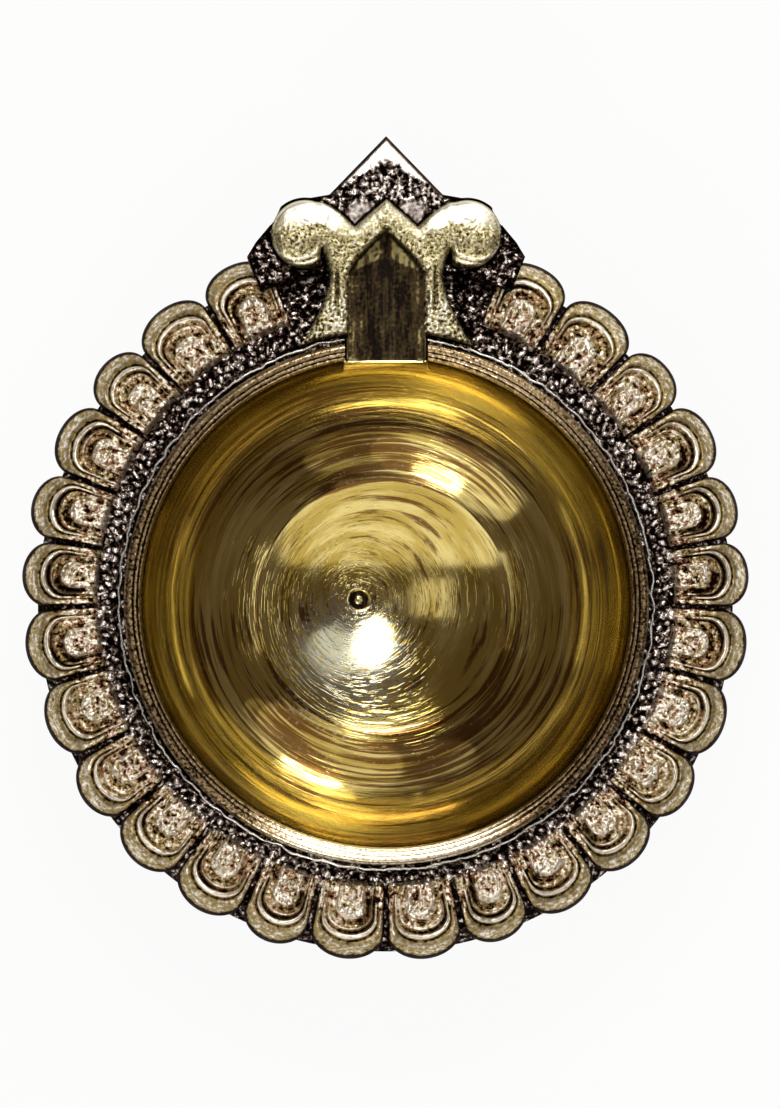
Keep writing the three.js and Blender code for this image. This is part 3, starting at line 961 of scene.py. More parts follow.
@dataclass
class OilCup:
    """The turned cup: a bowl with a dished floor, a belly and a lip with a slot for the spout."""

    steps: int = 288
    lip_inner: float = 33.2
    lip_fall: float = 1.2
    lip_pitch: float = 0.29  # fall for each step inwards, up to the rounded inner edge
    lip_thickness: float = 2.7
    wall: float = 1.6
    floor_radius: float = 17.4
    floor_dish: float = 1.8
    depth: float = 18.8  # from the lip's top down to the crease round the floor
    belly: float = 8.0  # how far the wall runs straight down from the lip
    sweep: float = 8.0  # how far it runs out from the crease
    sweep_rise: float = 2.9  # and how much it climbs there
    slot_half_width: float = 5.65
    slot_floor: float = 23.0
    sill: Point = (32.8, 33.0)  # the wall's top lies level between them, under the channel's end
    sill_height: float = 24.75
    rim_rounding: float = 0.75
    rim_break: float = 0.15  # the bevel of the rim's lower edge
    lip_start: float = 0.3  # from the inner edge, where the lip's slope ends in a rounded edge
    lip_grooves: tuple[float, ...] = (0.55, 1.15)  # scored into the lip, from its inner edge
    groove_depth: float = 0.08
    groove_width: float = 0.12
    mark_place: Point = (-3.4, 1.0)  # a ring pressed into the floor, off its middle
    mark_radius: float = 0.95
    mark_depth: float = 0.4
    mark_width: float = 0.3

    def __post_init__(self) -> None:
        """Takes the lip's height and radius from the CAD cup."""
        high = box_of(Node.CUP)[1]
        self.lip_height = high.z
        self.lip_outer = high.x

    @property
    def crease_height(self) -> float:
        """The height of the crease round the floor."""
        return self.lip_height - self.depth

    @property
    def floor_bottom(self) -> float:
        """A height between the floor's top and its underside."""
        return self.crease_height - self.floor_dish - 0.4

    def from_mark(self, place: Vector) -> float:
        """Gives a place's distance from the centre mark in the plan."""
        return math.hypot(place.x - self.mark_place[0], place.y - self.mark_place[1])

    def bowl(self) -> list[Point]:
        """Gives the bowl's inside from the lip's inner edge down to the crease."""
        top = self.lip_height - self.lip_fall
        wall = bezier(
            [
                (self.lip_inner, top),
                (self.lip_inner, top - self.belly),
                (self.floor_radius + self.sweep, self.crease_height + self.sweep_rise),
                (self.floor_radius, self.crease_height),
            ],
            60,
        )
        crisp = (self.floor_radius + 0.05, self.crease_height + 0.018)
        return [*wall[:-1], crisp, wall[-1]]

    def floor(self) -> list[Point]:
        """Gives the floor's dish from its centre out to the crease."""
        rings = 90
        points = []
        for i in range(rings):
            share = i / rings
            height = self.crease_height - self.floor_dish * (1.0 - share**2)
            points.append((self.floor_radius * share, height))
        points.append((self.floor_radius - 0.05, self.crease_height - 0.01))
        return points

    def profile(self) -> list[Point]:
        """Gives the cup's whole section, from the axis below round to the axis above."""
        inside = self.bowl()
        floor = self.floor()
        flange = self.lip_height - self.lip_thickness
        under = [(r, z - self.wall) for r, z in floor[::9]]
        outside = [p for p in beside(inside, self.wall)[::-1] if p[1] < flange]
        rim, top, rounding = self.lip_outer, self.lip_height, self.rim_rounding
        edge = [
            (outside[-1][0], flange),
            (rim - self.rim_break, flange),
            (rim, flange + self.rim_break),
            (rim, top - rounding),
            *arc((rim - rounding, top - rounding), rounding, 0.0, 90.0, 8)[1:],
        ]
        inner_top = top - self.lip_fall
        slope = []
        steps = 36
        for i in range(1, steps + 1):
            share = i / steps
            radius = mix(rim - rounding, self.lip_inner + self.lip_start, share)
            height = top - self.lip_pitch * (rim - rounding - radius)
            for groove in self.lip_grooves:
                away = (radius - self.lip_inner - groove) / self.groove_width
                height -= self.groove_depth * math.exp(-(away**2))
            slope.append((radius, height))
        shelf = slope[-1][1]
        bead = [
            (self.lip_inner + 0.16, mix(shelf, inner_top, 0.25)),
            (self.lip_inner + 0.06, mix(shelf, inner_top, 0.55)),
            (self.lip_inner + 0.01, mix(shelf, inner_top, 0.8)),
        ]
        return [*under, *outside, *edge, *slope, *bead, *inside, *floor[::-1]]

    def raise_sill(self, bm: bmesh.types.BMesh) -> None:
        """Carries the bowl's wall on up to the channel's end, inside the slot.

        Args:
            bm: The cup with its slot. It is changed.
        """
        for y in (*self.sill, self.sill[1] + 0.04):
            shelf = []
            for face in bm.faces:
                middle = face.calc_center_median()
                if middle.y > 0.0 and abs(middle.z - self.slot_floor) < SAME:
                    shelf.append(face)
            edges = {e for f in shelf for e in f.edges}
            verts = {v for e in edges for v in e.verts}
            bmesh.ops.bisect_plane(
                bm,
                geom=[*shelf, *edges, *verts],
                plane_co=(0.0, y, 0.0),
                plane_no=(0.0, 1.0, 0.0),
                dist=CUT,
            )
        for vert in bm.verts:
            level = abs(vert.co.z - self.slot_floor) < SAME
            inside = abs(vert.co.x) < self.slot_half_width + SAME
            if level and inside and min(abs(vert.co.y - y) for y in self.sill) < SAME:
                vert.co.z = self.sill_height

    def press_mark(self, bm: bmesh.types.BMesh) -> None:
        """Presses the centre mark into the floor, a ring with a pip in it.

        Args:
            bm: The turned cup. It is changed.
        """
        for vert in bm.verts:
            if self.floor_bottom <= vert.co.z <= self.crease_height + 0.5:
                away = (self.from_mark(vert.co) - self.mark_radius) / self.mark_width
                vert.co.z -= self.mark_depth * math.exp(-(away**2))

    def build(
        self,
        polished: bpy.types.Material,
        scraped_and_highlit: bpy.types.Material,
        sooted: bpy.types.Material,
    ) -> None:
        """Turns the cup, cuts its slot and dresses it.

        Args:
            polished: The finish of the bowl.
            scraped_and_highlit: The finish of the lip.
            sooted: The finish of the mark's ring, which holds soot.
        """
        bm = turned(self.profile(), self.steps)
        cut_notch(bm, self.slot_half_width, self.slot_floor)
        self.raise_sill(bm)
        self.press_mark(bm)
        self.paint_lip_wear_and_highlight(bm)
        flange = self.lip_height - self.lip_thickness
        for face in bm.faces:
            middle = face.calc_center_median()
            if math.hypot(middle.x, middle.y) > self.lip_inner and middle.z > flange:
                face.material_index = 1
            marked = abs(self.from_mark(middle) - self.mark_radius) < 1.2 * self.mark_width
            marked = marked and self.floor_bottom < middle.z < self.crease_height
            slotted = middle.y > 0.0 and abs(middle.x) < self.slot_half_width + 0.01
            if marked or (slotted and middle.z > self.sill_height + 0.01):
                face.material_index = 2
        hand_over(bm, "cup", [polished, scraped_and_highlit, sooted], [Node.CUP])

    def paint_lip_wear_and_highlight(self, bm: bmesh.types.BMesh) -> None:
        """Paints the lip's wear, scored dark in the grooves, and a painted highlight on the near
        side.

        Args:
            bm: The cup. It gets a relief attribute.
        """
        relief = bm.verts.layers.float.new("relief")
        for vert in bm.verts:
            if self.from_mark(vert.co) < 2.0 * self.mark_radius:
                vert[relief] = 0.0
                continue
            radius = math.hypot(vert.co.x, vert.co.y) - self.lip_inner
            scored = max(math.exp(-(((radius - g) / 0.14) ** 2)) for g in self.lip_grooves)
            ahead = vert.co.y / (radius + self.lip_inner + 1e-6)
            # Painted highlight: bright on the near side, and a little brighter on the far side.
            near, far = ease(0.8, 0.97, -ahead), ease(0.3, 0.8, ahead)
            worn = mix(0.44, 0.26, ease(1.0, 1.7, radius)) + 0.16 * far + 0.58 * near
            vert[relief] = worn - 0.6 * scored * (1.0 - near)


@dataclass
class TurnedFoot:
    """The turned foot: a rim, a hollow moulding and a shoulder that carries the cup."""

    steps: int = 192
    rim: float = 2.4
    rounding: float = 0.6
    cove: float = 5.5
    cove_height: float = 2.8
    shoulder: float = 1.5
    groove_radius: float = 11.5
    groove_width: float = 7.0
    groove_depth: float = 0.6

    def build(self, finish: bpy.types.Material, cup: OilCup) -> None:
        """Turns the foot and dresses it.

        Args:
            finish: Its finish.
            cup: The cup that it carries, whose underside its top follows.
        """
        radius = box_of(Node.FOOT)[1].x
        neck = radius - self.cove
        round_off = self.rounding
        groove_in = self.groove_radius - self.groove_width / 2
        groove_out = self.groove_radius + self.groove_width / 2
        lower = [
            (0.0, 0.0),
            (groove_in, 0.0),
            (groove_in + self.groove_depth, self.groove_depth),
            (groove_out - self.groove_depth, self.groove_depth),
            (groove_out, 0.0),
            (radius - round_off, 0.0),
            *arc((radius - round_off, round_off), round_off, -90.0, 0.0, 6)[1:],
            *arc((radius - round_off, self.rim - round_off), round_off, 0.0, 90.0, 6),
            (radius - 1.3, self.rim),
            (radius - 1.5, self.rim + 0.15),
        ]
        cove = bezier(
            [
                (radius - 1.7, self.rim + 0.1),
                (radius - 4.0, self.rim + 0.2),
                (neck, self.rim + 0.6),
                (neck, self.rim + self.cove_height),
            ],
            16,
        )
        top = neck + self.shoulder
        under = [(r, z - cup.wall - 0.05) for r, z in cup.floor()]
        belly = [p for p in beside(cup.bowl(), cup.wall + 0.05)[::-1] if p[0] > under[-1][0]]
        seat = [p for p in under + belly if p[0] < top]
        edge = [
            (neck + 0.5, self.rim + self.cove_height + 0.7),
            (top - 0.2, self.rim + self.cove_height + 1.4),
            (top, seat[-1][1] - 0.6),
            (top - 0.1, seat[-1][1] - 0.1),
        ]
        bm = turned([*lower, *cove, *edge, *seat[::-1]], self.steps)
        hand_over(bm, "foot", [finish], [Node.FOOT])


@dataclass(frozen=True)
class Ring:
    """One arch of a petal's moulding, on the way from its edge to its middle."""

    at: float  # share of the way, or less than 0 on the petal's underside
    inset: float  # from the petal's tip
    width: float  # share of the petal's width
    relief: float  # height over the crown
    wear: float  # 0 keeps the patina, 1 is rubbed bright


@dataclass
class PetalCollar:
    """The cast collar: a ring of lotus petals over a bed, and a beaded valley round the lip."""

    notches: tuple[float, ...] = (  # between the petals, in degrees from the spout's axis
        19.1, 31.8, 45.2, 56.8, 69.4, 80.8, 92.2, 104.8, 118.0, 130.1, 142.7, 155.4, 167.0, 180.0,
    )
    length: float = 10.7
    ring_offset: float = 1.1
    split: float = 0.5
    shoulder: float = 3.6
    curl: float = 6.0
    rise: float = 0.7
    fall: float = 7.5
    belly: float = 3.2
    bed_depth: float = 1.6
    valley_height: float = 26.2
    valley_outer: float = 39.0
    valley_inner: float = 36.5
    land: float = 0.8
    skirt_height: float = 17.8
    wall: float = 2.8
    stations: int = 76
    levels: int = 72
    under_levels: int = 10
    arch_end: float = 0.56  # share of the stations that go round the arch's end
    edge_share: float = 0.14  # the arches below this share are the petal's rolled edge
    tuck: float = 6.1  # how far the underside runs back from the tip
    tuck_wear: float = 0.1
    root_overlap: float = 0.5  # how far the petals' roots reach into the valley
    inset: float = 0.16  # how far an even petal's tip stays inside the ring of tips
    rings: tuple[Ring, ...] = (
        Ring(0.00, 0.0, 1.00, -1.9, -0.30),
        Ring(0.05, 0.3, 0.98, -0.9, -0.30),
        Ring(0.08, 0.5, 0.965, -0.5, 0.00),
        Ring(0.13, 0.9, 0.93, 0.0, 0.55),
        Ring(0.20, 1.6, 0.87, 0.12, 0.66),
        Ring(0.26, 2.1, 0.83, 0.0, 0.50),
        Ring(0.30, 2.4, 0.80, -0.30, 0.10),
        Ring(0.35, 2.8, 0.765, 0.50, 1.00),
        Ring(0.40, 3.15, 0.73, 0.35, 0.95),
        Ring(0.45, 3.55, 0.685, -0.75, -0.20),
        Ring(0.50, 4.0, 0.63, 0.10, 0.95),
        Ring(0.55, 4.4, 0.575, -0.45, 0.20),
        Ring(0.60, 4.8, 0.52, -0.80, -0.10),
        Ring(0.65, 5.2, 0.46, -0.40, 0.20),
        Ring(0.69, 5.5, 0.42, 0.40, 0.95),
        Ring(0.76, 6.1, 0.35, 0.65, 0.95),
        Ring(0.84, 6.7, 0.26, 0.55, 0.70),
        Ring(0.92, 7.5, 0.14, 0.60, 0.75),
        Ring(1.00, 8.2, 0.0, 0.70, 0.85),
    )

    @property
    def tip_radius(self) -> float:
        """The radius of the petals' tips round the middle of their ring."""
        return self.valley_outer + self.length

    def crown(self, radius: float) -> float:
        """Gives the height of the petals' crown.

        Args:
            radius: The distance from the middle of the petals' ring.

        Returns:
            The height, level inside and then falling to the tip.
        """
        inside = max(0.0, 1.0 - (self.tip_radius - radius) / self.curl)
        inside = min(inside, 1.0)
        drop = self.fall * (1.0 - math.sqrt(1.0 - (0.97 * inside) ** 2))
        return self.valley_height + self.rise - drop

    def ring_at(self, share: float) -> Ring:
        """Gives the arch at a share of the way from a petal's edge to its middle.

        Args:
            share: 0 at the edge and 1 at the middle.

        Returns:
            The arch between its two neighbours.
        """
        for before, after in zip(self.rings, self.rings[1:]):
            if share <= after.at:
                run = (share - before.at) / (after.at - before.at)
                soft = ease(0.0, 1.0, run)
                return Ring(
                    share,
                    mix(before.inset, after.inset, run),
                    mix(before.width, after.width, run),
                    mix(before.relief, after.relief, soft),
                    mix(before.wear, after.wear, soft),
                )
        return self.rings[-1]

    def rows(self) -> list[tuple[Ring, float]]:
        """Gives each row's arch, and its drop below the tip where it lies underneath."""
        count = self.levels + self.under_levels
        rows = []
        for i in range(count + 1):
            if i < self.under_levels:
                back = 1.0 - i / self.under_levels
                ring = Ring(-1.0, self.tuck * back, 1.0 - back, 0.0, self.tuck_wear)
                rows.append((ring, self.belly * math.sin(back * math.pi / 2)))
            else:
                rows.append((self.ring_at((i - self.under_levels) / self.levels), 0.0))
        return rows

    def petal(self, bm: bmesh.types.BMesh, angle: float, half_angle: float, seed: float) -> None:
        """Adds one petal.

        Args:
            bm: The mesh that it joins, with a relief layer. It is changed.
            angle: The petal's middle from the spout's axis, in radians, towards +X.
            half_angle: Half its width, in radians.
            seed: What its unevenness starts from.
        """
        relief_layer = bm.verts.layers.float["relief"]
        polish_layer = bm.verts.layers.float["polish"]
        rows = self.rows()
        count = len(rows) - 1
        grid = bmesh.ops.create_grid(bm, x_segments=self.stations, y_segments=count, size=1.0)
        tip_height = self.crown(self.tip_radius)
        root = self.valley_outer - self.root_overlap
        stretch = 0.4 * noise.noise((seed, 0.3, 0.7))
        lean = 0.16 * noise.noise((0.4, seed, 0.2))
        for vert in grid["verts"]:
            station = vert.co.x
            ring, drop = rows[round((vert.co.y + 1.0) / 2.0 * count)]
            bend = min(max(station / self.arch_end, -1.0), 1.0) * math.pi / 2
            leg = max(0.0, (abs(station) - self.arch_end) / (1.0 - self.arch_end))
            shoulder = self.tip_radius - ring.inset - self.shoulder * ring.width
            radius = shoulder + self.shoulder * ring.width * math.cos(bend)
            radius = mix(radius, root, leg)
            across = half_angle * ring.width * math.sin(bend)
            across += lean * half_angle * (1.0 - ring.width**2)
            sideways = 1.0 - (math.cos(bend) if leg == 0.0 else 0.0)
            wear = ring.wear
            if ring.at < 0.0:
                height = tip_height - drop
            else:
                # Painted shade: the deepest arch stays dark on the side away from the spout.
                shaded = ease(-0.7, 0.35, math.copysign(1.0, angle) * across / half_angle)
                height, wear = self.relief_at(ring, radius, across, sideways, leg, seed, shaded)
                sink = 1.0 - ease(root, root + 1.3, radius)
                height -= sink * (height - self.valley_height + 0.6)
            radius += (stretch - self.inset) * ease(0.0, self.length, radius - root)
            # Painted light: the petals' middles are painted brighter on the side away from the
            # spout.
            near = ease(0.2, 1.0, -math.cos(angle))
            rubbed = near * ease(41.0, 42.5, radius) * ease(0.3, 0.5, ring.at)
            vert[relief_layer] = wear + 0.2 * rubbed
            # The outer arches and the boss's rim are smooth, and the rest keeps its grain.
            boss = ease(0.64, 0.7, ring.at) * ease(0.84, 0.76, ring.at)
            smooth = mix(0.3, 0.7, ease(0.5, 0.3, ring.at)) * ease(0.8, 0.62, ring.at)
            smooth = max(smooth, 0.65 * boss)
            vert[polish_layer] = smooth * (1.0 - 0.9 * ease(0.0, 0.4, leg))
            turn = angle + across
            vert.co = (
                radius * math.sin(turn),
                radius * math.cos(turn) + self.ring_offset,
                height,
            )

    def relief_at(
        self,
        ring: Ring,
        radius: float,
        across: float,
        sideways: float,
        leg: float,
        seed: float,
        shaded: float,
    ) -> tuple[float, float]:
        """Gives a petal's height and wear at one place of its top.

        Args:
            ring: The arch that the place is on.
            radius: Its distance from the middle of the petals' ring.
            across: Its angle from the petal's middle.
            sideways: 0 at the arch's end and 1 along its legs.
            leg: Share of the way down the leg to the petal's root.
            seed: What the petal's unevenness starts from.
            shaded: How much painted shade and depth the deepest arch keeps, less towards the spout.

        Returns:
            The height and the wear.
        """
        edge = 1.0 - min(ring.at / self.edge_share, 1.0)
        gap = mix(1.0, 0.3, ease(0.0, 0.45, leg))
        lean = math.sin(across * 14.0 + seed)
        if edge > 0.0:
            # The rolled edge is level and worn at the tip, and sunk and dark along the sides.
            lift = ring.relief * sideways * gap
            shown = max(sideways * gap, ease(0.11, 0.05, ring.at))
            wear = mix(0.62, ring.wear, shown)
        else:
            # The arches fade towards the petal's root, and those round the boss lean.
            fade = mix(1.0, 0.3, ease(0.05, 0.6, leg)) if ring.at < 0.66 else 1.0
            if 0.4 < ring.at < 0.66:
                fade *= 0.75 + 0.45 * lean
            lift = ring.relief * fade
            wear = mix(0.62, ring.wear, min(fade, 1.0))
            if 0.45 < ring.at < 0.58:  # the second ridge is gone on some petals
                rubbed = ease(-0.25, 0.2, noise.noise((seed, 2.2, 5.1)))
                wear = mix(min(wear, 0.4), wear, rubbed)
                lift = mix(min(lift, -0.3), lift, rubbed)
            if 0.5 < ring.at < 0.72:  # the deepest arch keeps a crescent of painted shade
                wear = mix(max(wear, 0.45), wear, shaded)
                lift = mix(max(lift, -0.35), lift, shaded)
        rough = ease(0.5, 0.74, ring.at) + 0.9 * ease(0.0, 0.4, leg)
        rough = min(rough, 1.0)
        spot = Vector((radius * math.sin(across), radius * math.cos(across), seed))
        dents = 0.0
        for least, more, often in ((0.1, 0.22, 0.95), (0.07, 0.28, 1.9), (0.03, 0.17, 3.4)):
            dents += (least + more * rough) * noise.noise(spot * often)
        blotch = noise.noise(spot * 1.3 + Vector((9.0, 0.0, 0.0)))
        worn = wear + 1.5 * dents + (0.1 + 0.25 * rough) * blotch
        return self.crown(radius) + lift + dents, worn

    def build_petals(self, finish: bpy.types.Material) -> None:
        """Makes the petals of each side as one piece.

        Args:
            finish: Their finish.
        """
        for name, side in (("petals_left", -1), ("petals_right", 1)):
            bm = bmesh.new()
            bm.verts.layers.float.new("relief")
            bm.verts.layers.float.new("polish")
            for i, (before, after) in enumerate(zip(self.notches, self.notches[1:])):
                angle = math.radians(before + after) / 2
                half = math.radians(after - before) / 2 - self.split / self.tip_radius / 2
                self.petal(bm, side * angle, half, 7.3 * i + 3.1 * side)
            bmesh.ops.remove_doubles(bm, verts=bm.verts, dist=SAME)
            bmesh.ops.holes_fill(bm, edges=[e for e in bm.edges if e.is_boundary], sides=0)
            hand_over(bm, name, [finish], [Node.COLLAR], sharp=70.0)

    def build_bed(self, finish: bpy.types.Material, cup: OilCup) -> None:
        """Turns the ring under the petals, with the valley and the skirt.

        Args:
            finish: Its finish.
            cup: The cup that it goes round.
        """
        hug = beside(cup.bowl(), cup.wall + 0.05)[::-1]
        hug = [p for p in hug if self.skirt_height < p[1] < self.valley_height + self.land]

        def bed(inset: float, below: float) -> Point:
            """Gives a place under the petals, from a share of their length and a drop."""
            radius = self.tip_radius - inset * self.length
            return (radius, self.crown(radius) - below)

        profile = [
            hug[0],
            (hug[0][0] + self.wall / 2, hug[0][1]),
            (hug[-1][0] + self.wall, self.valley_height - 2 * self.wall),
            bed(0.6, self.bed_depth + 1.5 * self.wall),
            bed(0.32, self.bed_depth + 1.5 * self.wall),
            bed(0.23, self.bed_depth + self.wall),
            bed(0.23, 1.5 * self.bed_depth),
            bed(0.4, self.bed_depth),
            bed(0.7, self.bed_depth),
            (self.valley_outer, self.valley_height),
            (self.valley_inner + 1.6, self.valley_height - 0.1),
            (self.valley_inner + self.land, self.valley_height),
            (self.valley_inner, self.valley_height + self.land),
            (hug[-1][0], self.valley_height + self.land),
            *hug[::-1],
        ]
        bm = turned(profile, 240)
        cut_notch(bm, cup.slot_half_width, cup.slot_floor)
        relief = bm.verts.layers.float.new("relief")
        for vert in bm.verts:
            vert[relief] = 0.16
        hand_over(bm, "collar_bed", [finish], [Node.COLLAR])

    def build_beads(self, finish: bpy.types.Material) -> None:
        """Sets beads and darts into the valley, the same few for each petal.

        Args:
            finish: Their finish.
        """
        bm = bmesh.new()
        relief = bm.verts.layers.float.new("relief")
        pattern = (  # share of the petal's width, radius, size, stretch and lean
            (0.0, 38.7, 0.75, 1.0, 0.0),
            (0.02, 37.4, 0.6, 1.0, 0.0),
            (0.16, 38.3, 0.42, 1.2, 0.3),
            (0.23, 37.2, 0.38, 1.5, 0.7),
            (0.34, 38.0, 0.34, 1.8, 0.5),
            (0.42, 37.0, 0.4, 1.1, 0.0),
            (0.5, 38.2, 0.32, 3.0, 0.45),
            (0.61, 37.3, 0.42, 1.2, -0.4),
            (0.7, 38.4, 0.36, 1.7, -0.6),
            (0.8, 37.4, 0.38, 1.3, 0.2),
            (0.88, 38.4, 0.42, 1.0, 0.0),
        )
        for side in (-1, 1):
            for i, (before, after) in enumerate(zip(self.notches, self.notches[1:])):
                for share, radius, size, stretch, lean in pattern:
                    if i == 0 and share < 0.2:
                        continue
                    stray = noise.noise((3.7 * i, 9.1 * share, side))
                    turn = side * math.radians(mix(before, after, share + 0.08 * stray))
                    radius += 0.6 * noise.noise((9.1 * share, side, 3.7 * i))
                    height = self.valley_height + 0.15
                    place = Matrix.Translation(
                        (radius * math.sin(turn), radius * math.cos(turn), height)
                    )
                    face = Matrix.Rotation(-turn + side * lean, 4, "Z")
                    size *= 1.0 + 0.5 * stray
                    form = Matrix.Diagonal((size, size * stretch, size * 0.9, 1.0))
                    made = bmesh.ops.create_icosphere(
                        bm, subdivisions=2, radius=1.0, matrix=place @ face @ form
                    )["verts"]
                    for vert in made:
                        vert[relief] = 0.85 if vert.co.z > self.valley_height + 0.3 else 0.0
        hand_over(bm, "valley_beads", [finish], [Node.COLLAR], sharp=80.0)

    def build(self, finish: bpy.types.Material, ground: bpy.types.Material, cup: OilCup) -> None:
        """Builds and dresses the collar.

        Args:
            finish: The petals' finish.
            ground: The finish of the bed and the valley.
            cup: The cup that it goes round.
        """
        self.build_bed(ground, cup)
        self.build_petals(finish)
        self.build_beads(ground)


@dataclass
class SolderBead:
    """The bead of solder that was run round the lip by hand, so it waves."""

    steps: int = 720
    inner: float = 35.9
    width: float = 0.6
    height: float = 1.3
    waves: int = 65

    def build(self, finish: bpy.types.Material, cup: OilCup) -> None:
        """Turns the bead, waves it and dresses it.

        Args:
            finish: Its finish.
            cup: The cup that it goes round, whose slot passes through it.
        """
        low = box_of(Node.BEAD)[0]
        middle = self.inner + self.width / 2
        half = self.width / 2 - 0.14
        profile = [
            (middle - half, low.z),
            (middle + half, low.z),
            *arc((middle, low.z + 0.75), half, 0.0, 180.0, 10),
            (middle - half, low.z),
        ]
        bm = turned(profile, self.steps)
        for vert in bm.verts:
            turn = math.atan2(vert.co.x, vert.co.y)
            radius = math.hypot(vert.co.x, vert.co.y)
            spot = Vector((math.sin(turn), math.cos(turn), 0.0))
            sway = 0.05 * math.sin(self.waves * turn) + 0.3 * noise.noise(spot * 16.0)
            sway += 0.16 * noise.noise(spot * 52.0)
            swell = 1.0 + 0.5 * noise.noise(spot * 14.0 + Vector((5.0, 0.0, 0.0)))
            wanted = middle + sway + (radius - middle) * swell
            wanted = min(max(wanted, self.inner - 0.25), self.inner + self.width)
            vert.co.x *= wanted / radius
            vert.co.y *= wanted / radius
        cut_notch(bm, cup.slot_half_width, low.z - 1.0)
        relief = bm.verts.layers.float.new("relief")
        for vert in bm.verts:
            vert[relief] = 0.7
        hand_over(bm, "solder_bead_run", [finish], [Node.BEAD], sharp=80.0)


@dataclass
class WickSpout:
    """The cast crown with its scrolls and wings, and the wick's channel along its middle."""

    spacing: float = 0.16
    seat: float = 26.5
    top: float = 30.3
    peak: Point = (0.0, 54.8)
    valley: Point = (4.3, 51.0)
    arm: tuple[Point, ...] = ((6.1, 52.75), (7.4, 53.7), (8.6, 54.3))
    scroll: Point = (11.0, 50.0)
    scroll_radius: float = 4.6
    scroll_rise: float = 0.5
    scroll_eye: Point = (12.2, 49.1)
    scroll_span: Point = (2.8, 2.1)
    curls: tuple[tuple[float, float, float], ...] = ((1.22, 0.12, 0.18), (1.56, 0.11, 0.18))
    rib: float = 6.7
    neck: tuple[Point, ...] = ((9.0, 47.0), (8.75, 48.5))
    waist: Point = (7.65, 44.6)
    wing_angle: float = 18.4
    wing_radius: float = 36.8
    channel_half: float = 5.05
    channel_wall: float = 0.3
    channel_floor: float = 24.8
    channel_side_rise: float = 0.9
    channel_centre: float = 1.25
    channel_thickness: float = 1.5
    channel_start: float = 33.05  # where the channel ends, in the bowl's wall
    channel_shoulder: float = 44.6
    channel_apex: float = 50.4
    apex_height: float = 28.8

    def outline(self) -> list[Point]:
        """Gives the crown's outline with the channel's block, anticlockwise."""
        block = self.channel_half + self.channel_wall
        foot_start = 90.0 - self.wing_angle
        foot_end = math.degrees(math.acos(block / self.wing_radius))
        foot = arc((0.0, 0.0), self.wing_radius, foot_start, foot_end, 8)
        wing = bezier(
            [
                self.waist,
                (self.waist[0] + 0.3, self.waist[1] - 3.4),
                (foot[0][0] - 1.7, foot[0][1] + 2.4),
                foot[0],
            ],
            14,
        )
        half = [
            self.peak,
            self.valley,
            *self.arm,
            *arc(self.scroll, self.scroll_radius, 108.0, -118.0, 36),
            *self.neck,
            *wing,
            *foot[1:],
            (block, self.channel_start),
            (0.0, self.channel_start),
        ]
        return mirrored(half)

    def channel_width(self, y: np.ndarray) -> np.ndarray:
        """Gives half the channel's width.

        Args:
            y: Distances along the spout.

        Returns:
            Half widths, which narrow to nothing past the shoulder.
        """
        return self.channel_half * (1.0 - rise(self.channel_shoulder, self.channel_apex, y) ** 1.35)

    def top_heights(
        self, places: np.ndarray, distance: np.ndarray, normal: np.ndarray
    ) -> Carved:
        """Carves the crown's top.

        Args:
            places: Places in the plan.
            distance: Their distances from the outline.
            normal: The outline's outward normals there.

        Returns:
            Heights, wear and polish.
        """
        x, y = np.abs(places[:, 0]), places[:, 1]
        grain, fine = bumps(places, 0.9, 4.0), bumps(places, 2.4, 8.0)
        # The bevel is broad and carries a painted highlight where the edge faces away from the cup,
        # most so on the scrolls, and narrow beneath them.
        facing = np.clip(normal[:, 1], 0.0, 1.0) ** 0.7 * rise(45.0, 47.0, y)
        outer = rise(5.6, 7.6, x)
        beneath = rise(48.2, 47.2, y) * rise(self.scroll_root, self.neck[0][0], x)
        width = mix(1.1 + mix(0.1, 1.7, outer) * facing, 0.5, beneath)
        height = self.top - 0.32 * width * rise(1.0, 0.0, distance / width) ** 1.3
        height -= 0.5 * rise(0.5, 0.0, distance) ** 2
        wear = 0.44 + mix(0.3, 0.56, outer) * facing * np.clip(1.8 - distance / width, 0.0, 1.0)
        wear -= 0.6 * rise(0.3, 0.0, distance)
        height, wear = self.scrolled(x, y, height, wear)
        # A groove runs down beside the channel.
        side = bell(x - self.rib, 0.25) * rise(46.5, 44.5, y) * rise(38.5, 40.5, y)
        height -= 0.25 * side
        wear -= 0.5 * side
        # The casting is rough inside the bevel, and roughest at its foot.
        rough = np.clip((distance - 0.6 * width) / 1.2, 0.0, 1.0)
        height += 0.03 * grain + (0.12 * grain + 0.13 * fine) * rough
        wear += (0.2 * grain + 0.5 * fine) * rough
        foot = rise(43.0, 39.0, y)
        height += 0.25 * fine * foot
        wear += (0.25 + 1.4 * fine) * foot
        height, wear = self.channelled(x, y, fine, height, wear)
        smooth = mix(0.3, 1.0, outer) * facing * np.clip(2.0 - distance / width, 0.0, 1.0)
        return height, np.clip(wear, 0.0, 1.0), smooth

    @property
    def scroll_root(self) -> float:
        """How far from the spout's axis the scrolls start."""
        return self.neck[0][0] - 0.6

    def scrolled(
        self, x: np.ndarray, y: np.ndarray, height: np.ndarray, wear: np.ndarray
    ) -> tuple[np.ndarray, np.ndarray]:
        """Domes the scrolls, and lays two crescents under each.

        Args:
            x: Distances from the spout's axis.
            y: Distances along it.
            height: The heights so far.
            wear: The wear so far.

        Returns:
            The heights and the wear.
        """
        down = (y - self.scroll_eye[1]) / self.scroll_span[1]
        away = np.hypot((x - self.scroll_eye[0]) / self.scroll_span[0], down)
        height = height + self.scroll_rise * np.clip(1.0 - away**2, 0.0, 1.0)
        below = np.clip(0.15 - down, 0.0, 0.5) / 0.5
        below *= (y < self.scroll_eye[1]) & (x > self.scroll_root)
        wear = mix(wear, 0.05, below * rise(1.0, 1.1, away))
        for radius, spread, lift in self.curls:
            curl = bell(away - radius, spread) * below
            height = height + lift * curl
            wear = wear + 0.95 * curl
        return height, wear

